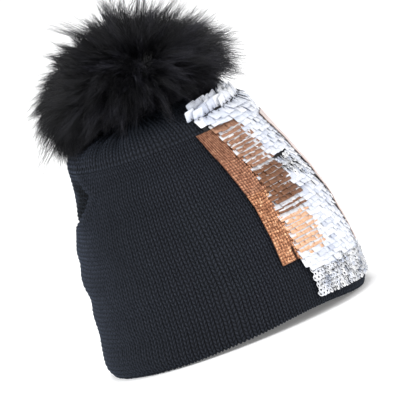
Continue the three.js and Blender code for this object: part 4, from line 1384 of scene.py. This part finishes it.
fill_rows = turned_soft("", drawn_in([(20.3, 170.2), (41.0, 171.2), (48.4, 174.8), (51.0, 180.4), (47.8, 186.6), (41.8, 194.0), (32.8, 202.6), (20.8, 209.8), (8.8, 214.8), (0.0, 216.2)]), None, 0, 0, 0)
core = np.array([(9.5, 173.5), (9.5, 166.2), (20.3, 166.2)])
rows = np.concatenate([core, fill_rows[:-1]])
G = revolve(rows, SEG, 62, 0.8)
m = len(rows)
V = np.concatenate([G.reshape(-1, 3), [[AXIS_X, 0, 173.5], [AXIS_X, 0, fill_rows[-1][1]]]]) * MM
filling = new_mesh("polyester_stuffing", V, [grid_faces(m - 1, SEG, closed_u=True),
                   np.concatenate([np.stack([np.full(SEG, m * SEG), (k + 1) % SEG, k], -1),
                                   np.stack([np.full(SEG, m * SEG + 1), (m - 1) * SEG + k, (m - 1) * SEG + (k + 1) % SEG], -1)])], mats=[FILLING])
fix_normals(filling)
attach(filling, "pompom")
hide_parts("pompom_filling")


# hairs: short underwool and long guard hairs in tufts
def hide_point(u, ang):
    """Point, normal on the hide's outer surface; u in 0..1 along the profile from the base."""
    d = np.hypot(np.diff(hide_o[:, 0]), np.diff(hide_o[:, 1]))
    s = np.concatenate([[0], np.cumsum(d)])
    q = u * s[-1]
    r, z = np.interp(q, s, hide_o[:, 0]), np.interp(q, s, hide_o[:, 1])
    e = 1.5
    r2, z2 = np.interp(np.minimum(q + e, s[-1]), s, hide_o[:, 0]), np.interp(np.minimum(q + e, s[-1]), s, hide_o[:, 1])
    r1, z1 = np.interp(np.maximum(q - e, 0), s, hide_o[:, 0]), np.interp(np.maximum(q - e, 0), s, hide_o[:, 1])
    tr, tz = r2 - r1, z2 - z1
    n = np.hypot(tr, tz)
    nr, nz = tz / n, -tr / n
    ca, sa = np.cos(ang), np.sin(ang)
    p = np.stack([r * ca + AXIS_X, r * sa, z], -1)
    nrm = np.stack([nr * ca, nr * sa, nz], -1)
    return p, nrm, r


def sample_roots(r, n):
    """Roots spread evenly over the hide, none under the leather base."""
    u = r.random(n * 4)
    _, _, rad = hide_point(u, np.zeros(len(u)))
    keep = (r.random(len(u)) < rad / 60.0) & (rad > 1.0)
    u = u[keep][:n]
    return u, r.uniform(0, 2 * math.pi, len(u))


def grow(name, n_tufts, per, length, width, seed, spread, steps, parts, only=None, fall=0.0):
    r = np.random.default_rng(seed)
    tu, ta = sample_roots(r, n_tufts)
    if only is not None:
        where = hide_point(tu, ta)
        keep = only(where[0][:, 2], where[2], np.cos(ta))
        tu, ta = tu[keep], ta[keep]
    nt = len(tu)
    tp, tn, trad = hide_point(tu, ta)
    # each tuft lies away from a parting near the top of the front
    ca, sa = np.cos(ta), np.sin(ta)
    radial = np.stack([ca, sa, 0 * ca], -1)
    w1, w2 = waves(np.degrees(ta), tp[:, 2], seed + 1, n=8, fphi=(1, 5), fz=(0.005, 0.03)), waves(np.degrees(ta), tp[:, 2], seed + 2, n=8, fphi=(1, 6), fz=(0.005, 0.03))
    parting = np.array([AXIS_X + 14.0, -36.0, 198.0])
    away = tp - parting
    away = away - tn * (away * tn).sum(1, keepdims=True)
    far = np.linalg.norm(away, axis=1, keepdims=True)
    away = away / np.maximum(far, 1e-6) * smooth(far, 0, 16)
    side = np.cross(tn, away)
    brush = away * 0.95 + side * (0.35 * w1)[:, None] + np.array([0.16, 0.0, 0.10])
    low = (1 - smooth(tp[:, 2], 166, 184))[:, None]
    hang = (0.04 + 1.25 * smooth(-ca, 0.45, 0.95) + 0.55 * smooth(ca, 0.25, 0.9))[:, None]
    brush = brush * (1 - low) + (radial * 0.55 + away * 0.25 - np.array([0.0, 0.0, 1.0]) * hang) * low
    under = (tn[:, 2] < -0.55)[:, None]
    brush = np.where(under, radial * 1.1 + np.array([0, 0, -0.03]), brush)
    if fall:  # down past the crown's edge
        under = under & False
        brush = radial * fall + np.array([0.0, 0.0, -1.25])
    top = smooth(tp[:, 2], 188, 206)[:, None]
    tdir = tn * np.where(under, 0.20, 0.42 + 0.25 * top) + brush * (1 - 0.25 * top) + r.normal(0, 0.15, (nt, 3))
    tdir /= np.linalg.norm(tdir, axis=1, keepdims=True)
    tbend = r.normal(0, 0.34, (nt, 3)) + brush * 0.20 + np.array([0.10, 0.0, -0.10])
    tlen = length * np.clip(r.normal(1.0, 0.15, nt), 0.6, 1.5)
    tlen = tlen * np.where(under[:, 0], 0.50, 1.0) * (1 + 0.10 * w2) * (1 - 0.22 * low[:, 0] * (ca > -0.5))
    tlen = tlen * (1 + top[:, 0] * (0.50 * r.random(nt) ** 3 - 0.14))
    tlen = tlen * (1 - 0.27 * smooth(-ca, 0.05, 0.65) * smooth(tp[:, 2], 174, 186))
    if fall:
        tlen = length * np.clip(r.normal(1.0, 0.10, nt), 0.7, 1.2) * (0.45 + 0.55 * smooth(np.abs(ca), 0.72, 0.93))
    tone = r.random(nt)
    # hairs
    h = np.repeat(np.arange(nt), per)
    nh = len(h)
    du = r.normal(0, spread, nh)
    da = r.normal(0, spread, nh)
    u = np.clip(tu[h] + du / 95.0, 0.002, 0.998)
    a = ta[h] + da / np.maximum(trad[h], 8.0)
    p, nrm, rad = hide_point(u, a)
    p = p - nrm * 0.8
    L = tlen[h] * np.clip(r.normal(1.0, 0.14, nh), 0.45, 1.45)
    # aim the hair at its tuft's gathered tip, so tufts come to loose points
    tip = tp[h] + tdir[h] * L[:, None] * 0.98 + tbend[h] * L[:, None] * 0.25
    loose = np.clip(r.normal(0.36, 0.20, nh) - 0.26 * top[h, 0], 0, 1)[:, None]
    own = p + nrm * L[:, None] * 0.22 + (tdir[h] + r.normal(0, 0.17, (nh, 3))) * L[:, None] * 0.80
    tip = tip * (1 - loose) + own * loose
    d0 = nrm * 0.55 + tdir[h] * 0.65 + r.normal(0, 0.10, (nh, 3))
    d0 /= np.linalg.norm(d0, axis=1, keepdims=True)
    c1 = p + d0 * L[:, None] * 0.42
    c2 = tip - (tdir[h] + tbend[h] * 0.8) * L[:, None] * 0.25 + r.normal(0, 0.035, (nh, 3)) * L[:, None]
    s = np.linspace(0, 1, steps + 1)[None, :, None]
    Q = (1 - s) ** 3 * p[:, None] + 3 * (1 - s) ** 2 * s * c1[:, None] + 3 * (1 - s) * s ** 2 * c2[:, None] + s ** 3 * tip[:, None]
    kink = r.normal(0, 1, (nh, 1, 3)) * np.sin(s * 5 + r.uniform(0, 6, (nh, 1, 1))) * 0.35
    Q = Q + kink * s
    # no hair strays far past the fur's full outline
    Q[..., 2] = np.where(Q[..., 2] > 236, 236 + 10 * np.tanh((Q[..., 2] - 236) / 10), Q[..., 2])
    Q[..., 0] = np.where(Q[..., 0] < -92, -92 - 9 * np.tanh((-92 - Q[..., 0]) / 9), Q[..., 0])
    tan = np.gradient(Q, axis=1)
    tan /= np.linalg.norm(tan, axis=2, keepdims=True)
    ref = np.cross(tan, np.array([0.13, 0.27, 0.95]))
    ref /= np.linalg.norm(ref, axis=2, keepdims=True)
    bi = np.cross(tan, ref)
    taper = np.array([1.0, 0.95, 0.8, 0.55, 0.3, 0.15])[:steps] if steps <= 6 else np.linspace(1, 0.2, steps)
    wd = width * np.clip(r.normal(1, 0.2, nh), 0.5, 1.6)
    rr = wd[:, None] * taper[None, :] / 2
    vs = []
    for q in range(3):
        an = q * 2 * math.pi / 3
        vs.append(Q[:, :-1] + rr[..., None] * (math.cos(an) * ref[:, :-1] + math.sin(an) * bi[:, :-1]))
    body = np.stack(vs, 2)  # hairs, rings, 3, xyz
    verts = np.concatenate([body.reshape(nh, steps * 3, 3), Q[:, -1:, :]], 1)
    per_hair = steps * 3 + 1
    quads = []
    for ring in range(steps - 1):
        for q in range(3):
            quads.append((ring * 3 + q, ring * 3 + (q + 1) % 3, (ring + 1) * 3 + (q + 1) % 3, (ring + 1) * 3 + q))
    tris = [((steps - 1) * 3 + q, (steps - 1) * 3 + (q + 1) % 3, steps * 3) for q in range(3)] + [(0, 2, 1)]
    quads, tris = np.array(quads), np.array(tris)
    along = np.concatenate([np.repeat(np.arange(steps) / steps, 3), [1.0]])
    tn_ = tone[h]
    out = []
    order = np.argsort(a % (2 * math.pi))
    for i, idx in enumerate(np.array_split(order, parts)):
        m = len(idx)
        vv = verts[idx].reshape(-1, 3) * MM
        off = (np.arange(m) * per_hair)[:, None, None]
        fq = (quads[None] + off).reshape(-1, 4)
        ft = (tris[None] + off).reshape(-1, 3)
        # third value: hair tone, random per tuft and per hair, plus 0.17 * cos(angle + 0.5), painted light that makes
        # the front-right of the pompom lighter
        loc = np.stack([np.repeat(r.random(m), per_hair), np.tile(along, m), np.repeat(np.clip(tn_[idx] * 0.62 + r.random(m) * 0.26 + 0.06 + 0.17 * np.cos(a[idx] + 0.5), 0, 1), per_hair)], -1)
        round_it = np.concatenate([np.tile([0.0, 0.5, 1.0], steps), [0.5]])
        ob = new_mesh(f"{name}_{i + 1}", vv, [fq, ft], {"loc": loc}, mats=[FUR], uv=cells(m, np.stack([round_it, along], -1)))
        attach(ob, "pompom")
        out.append(ob)
    return out


grow("guard_hair", 1150, 24, 27.0, 0.27, 81, 2.5, 5, 5)
grow("low_hair", 9000, 14, 21.0, 0.27, 83, 2.0, 5, 1, only=lambda z, rad, c: (z < 172) & (rad > 44.5) & (c < -0.68), fall=0.34)
grow("low_hair_right", 9000, 12, 11.5, 0.27, 84, 2.0, 5, 1, only=lambda z, rad, c: (z < 171) & (rad > 44.0) & (c > 0.62), fall=0.75)
grow("under_hair", 1700, 10, 14.0, 0.34, 82, 2.8, 3, 2)
